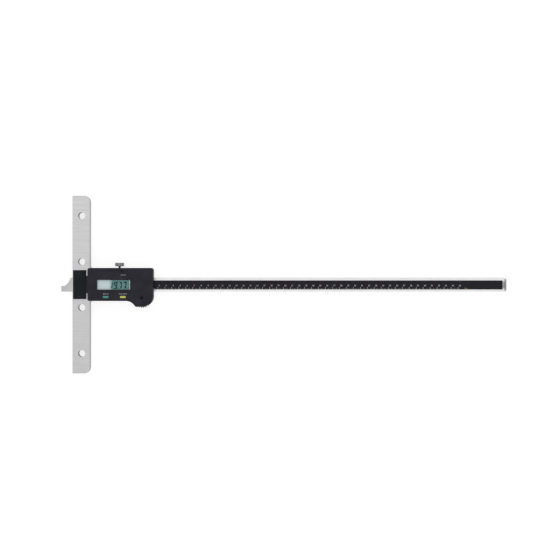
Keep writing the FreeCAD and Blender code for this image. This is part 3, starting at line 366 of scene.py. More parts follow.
@dataclass(frozen=True)
class Moulding:
    """Moulded plastic or rubber with a spark-eroded grain and a little handling shine.

    The grain is a cell pattern of a fraction of a millimetre that dimples the surface. Slow noise, as
    wide as a fingertip, changes the roughness as fingers do, and a few dust specks lighten the colour.
    Real dust is about 0.1 mm across; the specks are drawn 0.5 mm across, so that they show at all.
    """

    name: str
    colour: str
    shade: str
    roughness: float = 0.5
    grain_mm: float = 0.35
    relief: float = 0.25
    coat: float = 0.0
    specular: float = 0.5
    dust: float = 0.12
    touch_mm: float = 14.0
    speck_mm: float = 0.5

    def tint(self, tree: bpy.types.NodeTree, place: bpy.types.NodeSocket,
             colour: bpy.types.NodeSocket) -> bpy.types.NodeSocket:
        """Last change of the colour, which a plain moulding leaves as it is."""
        return colour

    def build(self) -> bpy.types.Material:
        """Builds the material.

        Returns:
            The finished material.
        """
        material, tree, place = new_material(self.name)
        grain = add_node(tree, "ShaderNodeTexVoronoi", {"Vector": place, "Scale": 1 / (self.grain_mm * MM)},
                         feature="SMOOTH_F1")
        fine = add_node(tree, "ShaderNodeTexNoise", {
            "Vector": place, "Scale": 2 / (self.grain_mm * MM), "Detail": 2.0})
        handled = add_node(tree, "ShaderNodeTexNoise", {
            "Vector": place, "Scale": 1 / (self.touch_mm * MM), "Detail": 4.0})
        specks = add_node(tree, "ShaderNodeTexNoise", {
            "Vector": place, "Scale": 1 / (self.speck_mm * MM), "Detail": 0.0})
        tone = ramp(tree, handled.outputs[0], 0.3, 0.7, 0.0, 1.0)
        colour = blend_colours(tree, tone, linear(self.shade), linear(self.colour))
        dust = ramp(tree, specks.outputs[0], 0.74, 0.8, 0.0, self.dust)
        dusty = blend_colours(tree, dust, colour, linear("8c8c8c"))
        roughness = ramp(tree, handled.outputs[0], 0.3, 0.7, self.roughness + 0.07, self.roughness - 0.07)
        height = add_node(tree, "ShaderNodeMath", {0: grain.outputs["Distance"], 1: fine.outputs[0]},
                          operation="ADD")
        bump = add_node(tree, "ShaderNodeBump", {
            "Height": height.outputs[0], "Strength": self.relief, "Distance": 0.03 * MM})
        shader = add_node(tree, "ShaderNodeBsdfPrincipled", {
            "Base Color": self.tint(tree, place, dusty), "Roughness": roughness, "Normal": bump.outputs[0],
            "Coat Weight": self.coat, "Coat Roughness": 0.12, "Specular IOR Level": self.specular})
        add_node(tree, "ShaderNodeOutputMaterial", {"Surface": shader.outputs[0]})
        return material


@dataclass(frozen=True)
class EnamelPlate(Moulding):
    """Baked enamel on a steel plate, rubbed thin along the plate's outline by handling.

    The rubbed line is where a point lies within a fraction of a millimetre of the nearest side of the
    plate's rectangle, and a noise breaks it up.
    """

    bare: str = "5d6066"
    middle: Tuple[float, float, float] = (10.4 * MM, 0.0, 0.0)
    half_depth: float = 9.4 * MM
    half_length: float = 20.7 * MM
    rub: float = 0.35 * MM
    patch: float = 2.5 * MM

    def tint(self, tree: bpy.types.NodeTree, place: bpy.types.NodeSocket,
             colour: bpy.types.NodeSocket) -> bpy.types.NodeSocket:
        """Lets the steel shine through along the plate's sides.

        Args:
            tree: the material's node tree.
            place: coordinates in metres.
            colour: the enamel's colour.

        Returns:
            The colour with its rubbed sides.
        """
        centred = add_node(tree, "ShaderNodeVectorMath", {0: place, 1: self.middle}, operation="SUBTRACT")
        folded = add_node(tree, "ShaderNodeVectorMath", {0: centred.outputs[0]}, operation="ABSOLUTE")
        apart = add_node(tree, "ShaderNodeSeparateXYZ", {0: folded.outputs[0]})
        in_depth = ramp(tree, apart.outputs[0], self.half_depth - self.rub, self.half_depth, 0.0, 1.0)
        in_length = ramp(tree, apart.outputs[1], self.half_length - self.rub, self.half_length,
                         0.0, 1.0)
        near = add_node(tree, "ShaderNodeMath", {0: in_depth, 1: in_length}, operation="MAXIMUM")
        patches = add_node(tree, "ShaderNodeTexNoise", {
            "Vector": place, "Scale": 1 / self.patch, "Detail": 5.0})
        broken = ramp(tree, patches.outputs[0], 0.48, 0.62, 0.0, 0.8)
        share = add_node(tree, "ShaderNodeMath", {0: near.outputs[0], 1: broken}, operation="MULTIPLY")
        return blend_colours(tree, share.outputs[0], colour, linear(self.bare))


@dataclass(frozen=True)
class LiquidCrystal:
    """Reflective liquid crystal cell: brushed reflector under glass, paler at its left end, where a reflection is
    painted.

    The tone changes along X: a painted reflection lightens the end away from the digits.
    Fine lines are those of the reflector's foil. Real ones are about 0.03 mm apart; they are drawn
    0.1 mm apart, so that a close view shows them.
    """

    name: str
    pale: str
    deep: str
    fade_from: float
    fade_to: float
    foil: str = "d9e6e2"
    line: float = 0.1 * MM
    run: float = 6.0 * MM

    def build(self) -> bpy.types.Material:
        """Builds the material.

        Returns:
            The finished material.
        """
        material, tree, place = new_material(self.name)
        apart = add_node(tree, "ShaderNodeSeparateXYZ", {0: place})
        fade = ramp(tree, apart.outputs[0], self.fade_from, self.fade_to, 0.0, 1.0)
        foil = add_node(tree, "ShaderNodeTexNoise", {
            "Vector": stretched(tree, place, self.line, self.run, Along.X), "Scale": 1.0, "Detail": 3.0})
        # Painted reflection: the pale colour at the left end fades into the cell's own green
        ground = blend_colours(tree, fade, linear(self.pale), linear(self.deep))
        # Painted sheen: streaks of the foil's paler colour over the cell
        sheen = ramp(tree, foil.outputs[0], 0.35, 0.65, 0.0, 0.14)
        lit = blend_colours(tree, sheen, ground, linear(self.foil))
        bump = add_node(tree, "ShaderNodeBump", {
            "Height": foil.outputs[0], "Strength": 0.04, "Distance": 0.02 * MM})
        shader = add_node(tree, "ShaderNodeBsdfPrincipled", {
            "Base Color": lit, "Roughness": 0.35, "Normal": bump.outputs[0],
            "Coat Weight": 0.15, "Coat Roughness": 0.05, "Specular IOR Level": 0.2})
        add_node(tree, "ShaderNodeOutputMaterial", {"Surface": shader.outputs[0]})
        return material


@dataclass(frozen=True)
class ClearPane:
    """Clear acrylic: seen through so nearly that its gloss and smears hardly show."""

    name: str
    tint: str
    cover: float
    smear: float = 1.2 * MM
    wipe: float = 7.0 * MM
    index: float = 1.49

    def build(self) -> bpy.types.Material:
        """Builds the material.

        Returns:
            The finished material.
        """
        material, tree, place = new_material(self.name)
        smear = add_node(tree, "ShaderNodeTexNoise", {
            "Vector": stretched(tree, place, self.smear, self.wipe, Along.X), "Scale": 1.0, "Detail": 4.0})
        roughness = ramp(tree, smear.outputs[0], 0.4, 0.75, 0.03, 0.16)
        shader = add_node(tree, "ShaderNodeBsdfPrincipled", {
            "Base Color": linear(self.tint), "Roughness": roughness, "Alpha": self.cover,
            "IOR": self.index})
        add_node(tree, "ShaderNodeOutputMaterial", {"Surface": shader.outputs[0]})
        return material


@dataclass(frozen=True)
class PrintedInk:
    """Screen-printed ink: matt, slightly uneven in cover.

    The screen's mesh is about 0.1 mm; the unevenness is drawn 0.3 mm wide, so that a close view
    shows it.
    """

    name: str
    colour: str
    shade: str
    roughness: float
    specular: float = 0.5
    patch: float = 0.3 * MM

    def build(self) -> bpy.types.Material:
        """Builds the material.

        Returns:
            The finished material.
        """
        material, tree, place = new_material(self.name)
        cover = add_node(tree, "ShaderNodeTexNoise", {
            "Vector": place, "Scale": 1 / self.patch, "Detail": 3.0})
        share = ramp(tree, cover.outputs[0], 0.3, 0.65, 0.0, 1.0)
        colour = blend_colours(tree, share, linear(self.shade), linear(self.colour))
        bump = add_node(tree, "ShaderNodeBump", {
            "Height": cover.outputs[0], "Strength": 0.08, "Distance": 0.01 * MM})
        shader = add_node(tree, "ShaderNodeBsdfPrincipled", {
            "Base Color": colour, "Roughness": self.roughness, "Normal": bump.outputs[0],
            "Specular IOR Level": self.specular})
        add_node(tree, "ShaderNodeOutputMaterial", {"Surface": shader.outputs[0]})
        return material


@dataclass(frozen=True)
class CircuitLaminate:
    """Glass laminate under green solder mask, with the weave just showing and tracks in relief.

    The weave's threads are about 0.5 mm apart; their ripple is drawn 3.2 mm long, so that it shows.
    """

    name: str
    mask: str
    track: str
    cell: float = 6.0 * MM
    ripple: float = 3.2 * MM

    def build(self) -> bpy.types.Material:
        """Builds the material.

        Returns:
            The finished material.
        """
        material, tree, place = new_material(self.name)
        tracks = add_node(tree, "ShaderNodeTexBrick", {
            "Vector": place, "Scale": 1 / self.cell, "Mortar Size": 0.03, "Color1": linear(self.mask),
            "Color2": linear(self.mask), "Mortar": linear(self.track)})
        weave = add_node(tree, "ShaderNodeTexWave", {
            "Vector": place, "Scale": 1 / self.ripple, "Distortion": 0.3})
        bump = add_node(tree, "ShaderNodeBump", {
            "Height": weave.outputs[1], "Strength": 0.1, "Distance": 0.02 * MM})
        shader = add_node(tree, "ShaderNodeBsdfPrincipled", {
            "Base Color": tracks.outputs[0], "Roughness": 0.32, "Normal": bump.outputs[0]})
        add_node(tree, "ShaderNodeOutputMaterial", {"Surface": shader.outputs[0]})
        return material


@dataclass(frozen=True)
class PressedFelt:
    """Dense wool felt: short fibres in every direction and a soft sheen.

    A fibre is about 0.03 mm thick; tufts of fibres are drawn 0.25 mm wide, so that they show.
    """

    name: str
    colour: str
    fibre: str
    tuft: float = 0.25 * MM

    def build(self) -> bpy.types.Material:
        """Builds the material.

        Returns:
            The finished material.
        """
        material, tree, place = new_material(self.name)
        fibres = add_node(tree, "ShaderNodeTexNoise", {
            "Vector": place, "Scale": 1 / self.tuft, "Detail": 6.0, "Distortion": 2.5})
        share = ramp(tree, fibres.outputs[0], 0.35, 0.7, 0.0, 1.0)
        colour = blend_colours(tree, share, linear(self.colour), linear(self.fibre))
        bump = add_node(tree, "ShaderNodeBump", {
            "Height": fibres.outputs[0], "Strength": 0.6, "Distance": 0.15 * MM})
        shader = add_node(tree, "ShaderNodeBsdfPrincipled", {
            "Base Color": colour, "Roughness": 0.95, "Normal": bump.outputs[0], "Sheen Weight": 0.3})
        add_node(tree, "ShaderNodeOutputMaterial", {"Surface": shader.outputs[0]})
        return material


def put_mesh(name: str, points: np.ndarray, faces: Sequence[Sequence[int]],
             smooth: bool = True) -> bpy.types.Object:
    """Makes an object of points and faces, with its place in its mesh.

    Args:
        name: the piece's name.
        points: array of n by 3 coordinates in metres.
        faces: corner numbers of each face.
        smooth: whether faces are shaded smooth where they meet at less than the sharp angle.

    Returns:
        The new object.
    """
    mesh = bpy.data.meshes.new(name)
    mesh.from_pydata(points.tolist(), [], [tuple(int(i) for i in face) for face in faces])
    mesh.update()
    piece = bpy.data.objects.new(name, mesh)
    bpy.context.scene.collection.objects.link(piece)
    shade(piece, smooth)
    return piece


def shade(piece: bpy.types.Object, smooth: bool = True) -> None:
    """Shades a piece smooth, with its sharp edges kept sharp.

    Args:
        piece: the piece.
        smooth: whether it is shaded smooth at all.
    """
    mesh = piece.data
    mesh.polygons.foreach_set("use_smooth", np.full(len(mesh.polygons), smooth))
    if smooth:
        mesh.set_sharp_from_angle(angle=SHARP_ANGLE)


def lathe(name: str, radii: np.ndarray, heights: np.ndarray, origin: Point, steps: int = 64,
          axis: Along = Along.Z, ripple: Optional[Relief] = None,
          relief: Optional[Relief] = None) -> bpy.types.Object:
    """Closed turned body: a profile of radius against height, carried once round an axis.

    A point of the profile at angle t lies at (r cos t, r sin t, h) before the axis is turned into place.
    The first and last radius are 0, so both ends close in a pole.

    Args:
        name: the piece's name.
        radii: radius at each point of the profile, with 0 first and last.
        heights: height at each point of the profile, from the top down.
        origin: where the axis starts.
        steps: how many points go round.
        axis: direction of the axis.
        ripple: optional change of radius, a function of radius, height and angle.
        relief: optional change of height, a function of radius, height and angle.

    Returns:
        The new object.
    """
    angle = np.linspace(0, 2 * math.pi, steps, endpoint=False)[None, :]
    radius = np.repeat(radii[1:-1, None], steps, axis=1)
    height = np.repeat(heights[1:-1, None], steps, axis=1)
    turned = np.repeat(angle, len(radii) - 2, axis=0)
    wide = radius + (ripple(radius, height, turned) if ripple else 0)
    tall = height + (relief(radius, height, turned) if relief else 0)
    ring = np.stack([wide * np.cos(turned), wide * np.sin(turned), tall], axis=-1).reshape(-1, 3)
    sunk = relief(np.zeros(1), heights[:1], np.zeros(1))[0] if relief else 0
    poles = np.array([[0, 0, heights[0] + sunk], [0, 0, heights[-1]]])
    points = np.vstack([ring, poles])
    if axis is Along.Y:
        points = points[:, [0, 2, 1]] * np.array([-1, 1, 1])
    rows = len(radii) - 2
    here = (np.arange(rows - 1)[:, None] * steps + np.arange(steps)[None, :])
    beside = (np.arange(rows - 1)[:, None] * steps + (np.arange(steps) + 1)[None, :] % steps)
    walls = np.stack([here, here + steps, beside + steps, beside], axis=-1).reshape(-1, 4).tolist()
    first, last = len(ring), len(ring) + 1
    turn = np.arange(steps)
    top = np.stack([np.full(steps, first), turn, (turn + 1) % steps], axis=-1).tolist()
    base = (rows - 1) * steps
    foot = np.stack([np.full(steps, last), base + (turn + 1) % steps, base + turn], axis=-1).tolist()
    piece = put_mesh(name, points + np.array(origin), walls + top + foot)
    outward(piece)
    return piece


def outward(piece: bpy.types.Object) -> None:
    """Turns every face of a closed piece outwards.

    Args:
        piece: the piece.
    """
    shell = bmesh.new()
    shell.from_mesh(piece.data)
    bmesh.ops.recalc_face_normals(shell, faces=shell.faces[:])
    shell.to_mesh(piece.data)
    shell.free()
    shade(piece)


def slabs(name: str, low: np.ndarray, high: np.ndarray) -> bpy.types.Object:
    """Many thin boxes in one piece, each between two corners.

    A corner of a box is its low or high value in each of the three directions.

    Args:
        name: the piece's name.
        low: n by 3 lowest corners.
        high: n by 3 highest corners.

    Returns:
        The new object.
    """
    pick = np.array([[i & 1, i >> 1 & 1, i >> 2 & 1] for i in range(8)])
    corners = low[:, None, :] + (high - low)[:, None, :] * pick[None, :, :]
    sides = np.array([[0, 2, 3, 1], [4, 5, 7, 6], [0, 1, 5, 4], [2, 6, 7, 3], [0, 4, 6, 2], [1, 3, 7, 5]])
    faces = (sides[None, :, :] + 8 * np.arange(len(low))[:, None, None]).reshape(-1, 4)
    return put_mesh(name, corners.reshape(-1, 3), faces.tolist(), smooth=False)


def lettering(name: str, words: Sequence[Tuple[str, float, float]], height: float, level: float,
              spacing: float = 1.0) -> bpy.types.Object:
    """Printed words as one thin closed mesh.

    Args:
        name: the piece's name.
        words: each word with the X and Y of its middle.
        height: height of a capital letter.
        level: height in Z of the surface that carries the print.
        spacing: share of the usual distance between letters.

    Returns:
        The new object.
    """
    cap_share = 0.72
    merged = bmesh.new()
    for word, x, y in words:
        curve = bpy.data.curves.new(name, "FONT")
        curve.body = word
        curve.size = height / cap_share
        curve.space_character = spacing
        curve.align_x = "CENTER"
        curve.align_y = "CENTER"
        curve.extrude = Layer.PRINT.value / 2
        curve.resolution_u = 3
        writer = bpy.data.objects.new(name, curve)
        mesh = bpy.data.meshes.new_from_object(writer)
        offset = Vector((x, y, level + Layer.PRINT.value / 2))
        mesh.transform(Matrix.Translation(offset))
        merged.from_mesh(mesh)
        bpy.data.objects.remove(writer)
        bpy.data.curves.remove(curve)
        bpy.data.meshes.remove(mesh)
    mesh = bpy.data.meshes.new(name)
    bmesh.ops.remove_doubles(merged, verts=merged.verts[:], dist=PRINT_WELD)
    merged.to_mesh(mesh)
    merged.free()
    piece = bpy.data.objects.new(name, mesh)
    bpy.context.scene.collection.objects.link(piece)
    return piece


def softened(node: str, name: str, width: float, segments: int = 3) -> bpy.types.Object:
    """Copy of a CAD node with its sharp edges rounded.

    Args:
        node: the CAD node.
        name: the new piece's name.
        width: width of the rounding, in metres.
        segments: faces across the rounding.

    Returns:
        The new object, which replaces the node.
    """
    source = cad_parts[node]
    shell = bmesh.new()
    shell.from_mesh(source.data)
    bmesh.ops.remove_doubles(shell, verts=shell.verts[:], dist=WELD)
    bmesh.ops.dissolve_limit(shell, angle_limit=FLAT_ANGLE, verts=shell.verts[:], edges=shell.edges[:])
    mesh = bpy.data.meshes.new(name)
    shell.to_mesh(mesh)
    shell.free()
    piece = bpy.data.objects.new(name, mesh)
    bpy.context.scene.collection.objects.link(piece)
    bevel = piece.modifiers.new("rounded_edges", "BEVEL")
    bevel.width = width
    bevel.segments = segments
    bevel.limit_method = "ANGLE"
    bevel.angle_limit = SHARP_ANGLE
    bevel.use_clamp_overlap = True
    shade(piece)
    return piece


def cross_recess(radius: float, arm: float, depth: float) -> Relief:
    """Relief of a cross-recessed screw head.

    The depth falls off with distance from either bar of the cross, and towards the bars' ends.

    Args:
        radius: reach of the cross from its middle.
        arm: half the width of a bar.
        depth: depth at the middle.

    Returns:
        A function of radius, height and angle that gives the change of height.
    """
    def relief(at: np.ndarray, height: np.ndarray, angle: np.ndarray) -> np.ndarray:
        """Change of height at points of the head.

        Args:
            at: distance from the axis.
            height: height under the head's top.
            angle: angle round the axis.

        Returns:
            The change of height, which is 0 below the head's top.
        """
        x, y = np.abs(at * np.cos(angle)), np.abs(at * np.sin(angle))
        near = np.minimum(x, y)
        wall = np.clip((arm * 1.25 - near) / (arm * 0.4), 0, 1)
        taper = np.clip((radius - at) / radius, 0, 1)
        return np.where(height > -1e-9, -depth * wall * np.sqrt(taper), 0.0)
    return relief


def slot_recess(arm: float, depth: float) -> Relief:
    """Relief of a slotted screw head: a straight trough right across.

    Args:
        arm: half the slot's width.
        depth: its depth.

    Returns:
        A function of radius, height and angle that gives the change of height.
    """
    def relief(at: np.ndarray, height: np.ndarray, angle: np.ndarray) -> np.ndarray:
        """Change of height at points of the head.

        Args:
            at: distance from the axis.
            height: height under the head's top.
            angle: angle round the axis.

        Returns:
            The change of height, which is 0 below the head's top.
        """
        across = np.abs(at * np.sin(angle))
        return np.where(height > -1e-9, -depth * np.clip((arm * 1.2 - across) / (arm * 0.3), 0, 1), 0.0)
    return relief


@dataclass
class Screw:
    """Small headed screw, whose heights run down from its head's top.

    head and shank are radii, cap is the head's height, and length is that of head and shank together.
    """

    head: float
    cap: float
    shank: float
    length: float
    crossed: bool = True
    rings: int = 14
    steps: int = 72

    def make(self, name: str, top: Point, upward: bool = True, axis: Along = Along.Z) -> bpy.types.Object:
        """Builds the screw.

        Args:
            name: the piece's name.
            top: middle of the head's top.
            upward: whether the head's top faces the positive direction.
            axis: the screw's axis.

        Returns:
            The new object.
        """
        rings = np.linspace(0, 1, self.rings)
        edge = 0.12 * self.head
        face = self.head - edge
        radii = np.concatenate([[0], rings[1:] * face, [self.head, self.head, self.shank, self.shank, 0]])
        heights = np.concatenate([np.zeros(self.rings), [-edge, -self.cap, -self.cap, -self.length, -self.length]])
        recess = (cross_recess(self.head * 0.72, self.head * 0.14, self.cap * 0.7) if self.crossed
                  else slot_recess(self.head * 0.16, self.cap * 0.55))
        piece = lathe(name, radii, heights, (0, 0, 0), self.steps, Along.Z, relief=recess)
        points = np.empty(len(piece.data.vertices) * 3, np.float32)
        piece.data.vertices.foreach_get("co", points)
        points = points.reshape(-1, 3)
        if not upward:
            points = points * np.array([1, -1, -1])
        if axis is Along.Y:
            points = points[:, [0, 2, 1]] * np.array([-1, 1, 1])
        points = points + np.array(top)
        piece.data.vertices.foreach_set("co", points.astype(np.float32).ravel())
        piece.data.update()
        outward(piece)
        return piece


def unite(name: str, pieces: Sequence[bpy.types.Object]) -> bpy.types.Object:
    """Joins like pieces into one object.

    Args:
        name: the new piece's name.
        pieces: the pieces, which are used up.

    Returns:
        The new object.
    """
    merged = bmesh.new()
    for piece in pieces:
        merged.from_mesh(piece.data)
        bpy.data.objects.remove(piece)
    mesh = bpy.data.meshes.new(name)
    merged.to_mesh(mesh)
    merged.free()
    whole = bpy.data.objects.new(name, mesh)
    bpy.context.scene.collection.objects.link(whole)
    shade(whole)
    return whole


def dress(node: str, material: bpy.types.Material) -> None:
    """Gives a CAD node one material.

    Args:
        node: the CAD node.
        material: its finish.
    """
    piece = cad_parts[node]
    piece.data.materials.clear()
    piece.data.materials.append(material)


def settle(piece: bpy.types.Object, material: bpy.types.Material, body: str, slot: str,
           *nodes: str) -> None:
    """Gives a new piece its material and body, and hides the CAD nodes it stands for.

    Args:
        piece: the new piece.
        material: its finish.
        body: the CAD body it moves with.
        slot: the record's material slot; not used.
        nodes: CAD nodes that it replaces.
    """
    piece.data.materials.clear()
    piece.data.materials.append(material)
    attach(piece, body)
    if nodes:
        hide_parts(*nodes)
    log.info("%s rides on %s", piece.name, body)


# Pale bar with fine lines along X and soft bands: reads as a surface-ground face, painted shade on sides and bores
GROUND_STEEL = GroundBar("ground stainless steel", "c2c2c3", "b0afb0", roughness=0.38, line_mm=0.22, run_mm=18.0,
                         band_mm=1.9, band_run_mm=40.0)
# Brighter and smoother than the bar, with the finest lines: a lapped sliding face
LAPPED_STEEL = HardenedBeam("lapped stainless steel", "dedede", "cacacc", roughness=0.32, line_mm=0.14,
                            run_mm=26.0, relief=0.08, scratch=0.35)
# Bright crests over grooves darkened by painted shade
KNURLED_STEEL = KnurledMetal("knurled bright steel", "aeadb0", "807f82", roughness=0.3, line_mm=0.18, run_mm=3.0,
                             along=Along.Y, relief=0.1, scratch=0.3, axis_x=67.3 * MM, axis_z=2.96 * MM,
                             crest=6.4 * MM, root=5.9 * MM)
# Greyer than the beam, so that the stop stands out at its end
TURNED_STEEL = WorkedMetal("turned bright steel", "a6a5a8", "7a797c", roughness=0.3, line_mm=0.18, run_mm=3.0,
                           along=Along.Y, relief=0.1, scratch=0.3)
# Light bluish glint of small plated hardware
SCREW_STEEL = WorkedMetal("zinc plated screw steel", "c9c9cc", "9a9a9e", roughness=0.28, line_mm=0.1, run_mm=0.8,
                          relief=0.1, scratch=0.3)
# Dull charcoal that just shows its recess against the black plate; on the clamp's stem it is painted shade
DARK_STEEL = WorkedMetal("black oxide screw steel", "3a3a40", "26262b", roughness=0.38, line_mm=0.1, run_mm=0.8,
                         relief=0.1, scratch=0.4)
# Nearly black disc in the swell of the cover
AXLE_STEEL = WorkedMetal("blackened axle steel", "1d1c22", "121216", roughness=0.42, line_mm=0.1, run_mm=0.8,
                         relief=0.1, scratch=0.2)
# Warm yellow with drawn lines
ROLLED_BRASS = WorkedMetal("rolled brass", "d9b56a", "b08d45", roughness=0.3, line_mm=0.12, run_mm=8.0,
                           relief=0.1, scratch=0.4)
# Pale straw tone of tinned springs beside the cell
TINNED_CONTACT = WorkedMetal("tinned spring bronze", "cfc6ae", "a79c80", roughness=0.3, line_mm=0.1, run_mm=3.0,
                             relief=0.08, scratch=0.3)
# Clean bright can of the cell when its tray is drawn
CELL_STEEL = WorkedMetal("nickel plated cell can", "c8c8c6", "a2a2a0", roughness=0.25, line_mm=0.1, run_mm=5.0,
                         relief=0.06, scratch=0.3)
# Cold black with a rubbed outline, a little darker than the cover beside it
BLACK_PLATE = EnamelPlate("black baked enamel plate", "14181e", "0d1015", roughness=0.42, grain_mm=0.4,
                          relief=0.2, specular=0.1)
# Charcoal with a violet cast and a fine matt grain. Real spark erosion has a grain of about 0.1 mm, which
# is drawn at 0.45 mm so that it shows
HOUSING_PLASTIC = Moulding("spark-eroded black ABS", "25232d", "1b1a22", roughness=0.48, grain_mm=0.45,
                           relief=0.35, specular=0.14)
# Smoother and blacker than the cover, so the teeth stand out from it a little
WHEEL_PLASTIC = Moulding("black acetal", "17171b", "0f0f12", roughness=0.4, grain_mm=0.5, relief=0.15,
                         specular=0.25)
# Dead matt ring on the wheel's hub
DRIVE_RUBBER = Moulding("nitrile rubber", "232323", "1a1a1a", roughness=0.7, grain_mm=0.3, relief=0.3)
# Dull mid grey behind the keys
KEYPAD_RUBBER = Moulding("grey silicone rubber", "6e7276", "62666a", roughness=0.6, grain_mm=0.3, relief=0.15)
# The two colours that stand out on the cover, and the small key that almost vanishes in it
TEAL_KEY = Moulding("teal silicone key", "4a8f84", "3c8076", roughness=0.4, grain_mm=0.3, relief=0.08,
                    specular=0.3)
YELLOW_KEY = Moulding("yellow silicone key", "c0c258", "b0b24c", roughness=0.4, grain_mm=0.3, relief=0.08,
                      specular=0.3)
DARK_KEY = Moulding("dark blue-grey silicone key", "10141b", "0b0e13", roughness=0.42, grain_mm=0.3, relief=0.1,
                    specular=0.15)
# Slightly shiny black of a moulded chip
CHIP_EPOXY = Moulding("black chip epoxy", "1d1d1f", "161618", roughness=0.55, grain_mm=0.25, relief=0.2)
# Even satin black that carries the pale graduations
FILM_ENAMEL = Moulding("black photo-etched film", "19171f", "121017", roughness=0.36, grain_mm=0.6, relief=0.05,
                       specular=0.14, dust=0.04)
# Labels that read clearly from near and fade to a grey line from afar
LIGHT_INK = PrintedInk("light grey pad-printed ink", "aaaab3", "9a9aa4", roughness=0.5)
# Warm white of bare metal under clear lacquer, in which the film's marks are etched
SCALE_INK = PrintedInk("pale etched graduation", "cdc6bf", "b4ada7", roughness=0.45)
# Tan touch at the end of the numbers
TAN_INK = PrintedInk("tan etched lettering", "c3a173", "b08e60", roughness=0.45)
# Green-black without gloss, as switched crystal has none of its own
DIGIT_INK = PrintedInk("darkened liquid crystal", "031613", "02100e", roughness=0.6, specular=0.0)
# Bright line at the display's right end: a painted highlight of the window's right bevel
HIGHLIGHT_INK = PrintedInk("pale cell edge seal", "cbdcd8", "bccfca", roughness=0.5)
# Thin dark line of painted shade, where the opening's wall shades the edge of the display
RECESS_SHADE_INK = PrintedInk("black display border", "10191c", "0c1315", roughness=0.5)
# Silvery painted reflection at the left, and sea green behind the reading
DISPLAY_CELL = LiquidCrystal("reflective liquid crystal", "c4d5d9", "2d7573", 53.0 * MM, 59.5 * MM)
# A breath of grey over the display; its gloss hardly shows
WINDOW_PANE = ClearPane("hard-coated clear acrylic", "aab4b4", 0.04)
# Green boards with paler tracks, inside the unit
BOARD_LAMINATE = CircuitLaminate("green soldermask laminate", "1f6a3c", "2d8650")
# Fuzzy dark strip that keeps grit off the beam
WIPER_FELT = PressedFelt("pressed wool felt", "1c1f26", "2b2e36")


@dataclass
class BaseUnit:
    """Steel base with its beam guide, the black plate that closes the guide, and the wiper."""

    corner: float = 0.5 * MM
    plate_edge: float = 0.25 * MM
    wiper_edge: float = 0.2 * MM
    plate_screw: Screw = field(default_factory=lambda: Screw(
        head=1.6 * MM, cap=0.75 * MM, shank=0.9 * MM, length=3.2 * MM))
    plate_screw_at: Tuple[float, float, float] = (10.4 * MM, 17.0 * MM, 6.5 * MM)
    cover_screw: Screw = field(default_factory=lambda: Screw(
        head=1.9 * MM, cap=1.1 * MM, shank=1.0 * MM, length=6.0 * MM))
    cover_screw_places: Sequence[Tuple[float, float]] = (
        (29.6 * MM, 19.4 * MM), (29.6 * MM, -18.8 * MM), (111.4 * MM, 19.4 * MM))
    cover_screw_level: float = -4.9 * MM

    def build(self) -> None:
        """Builds the base, its plate, wiper and all their screws."""
        settle(softened("base_frame", "base_bar", self.corner), GROUND_STEEL.build(), "gauge", "ground_steel",
               "base_frame")
        settle(softened("retaining_plate", "channel_plate", self.plate_edge), BLACK_PLATE.build(), "gauge",
               "black_plate", "retaining_plate")
        settle(softened("dust_wiper", "felt_wiper", self.wiper_edge), WIPER_FELT.build(), "gauge", "felt",
               "dust_wiper")
        dark = DARK_STEEL.build()
        x, y, z = self.plate_screw_at
        pair = [self.plate_screw.make(f"plate_screw_{i}", (x, side * y, z)) for i, side in enumerate((-1, 1))]
        settle(unite("channel_plate_screws", pair), dark, "gauge", "dark_steel", "plate_screws")
        backs = [self.cover_screw.make(f"cover_screw_{i}", (*at, self.cover_screw_level), upward=False)
                 for i, at in enumerate(self.cover_screw_places)]
        settle(unite("cover_screw_set", backs), dark, "gauge", "dark_steel", "housing_screws")


@dataclass
class BeamGuide:
    """Brass gib with its set screws inside the guide."""

    gib_edge: float = 0.15 * MM
    screw: Screw = field(default_factory=lambda: Screw(
        head=1.25 * MM, cap=7.98 * MM, shank=1.25 * MM, length=7.99 * MM, crossed=False))
    screw_end: float = 19.64 * MM
    screw_places: Sequence[float] = (45 * MM, 95 * MM)
    middle: float = 2.96 * MM

    def build(self) -> None:
        """Builds the gib and the two set screws that take up its play."""
        settle(softened("gib_strip", "brass_gib", self.gib_edge), ROLLED_BRASS.build(), "gauge", "brass",
               "gib_strip")
        pair = [self.screw.make(f"set_screw_{i}", (x, self.screw_end, self.middle), axis=Along.Y)
                for i, x in enumerate(self.screw_places)]
        settle(unite("gib_set_screws", pair), DARK_STEEL.build(), "gauge", "dark_steel", "gib_screws")


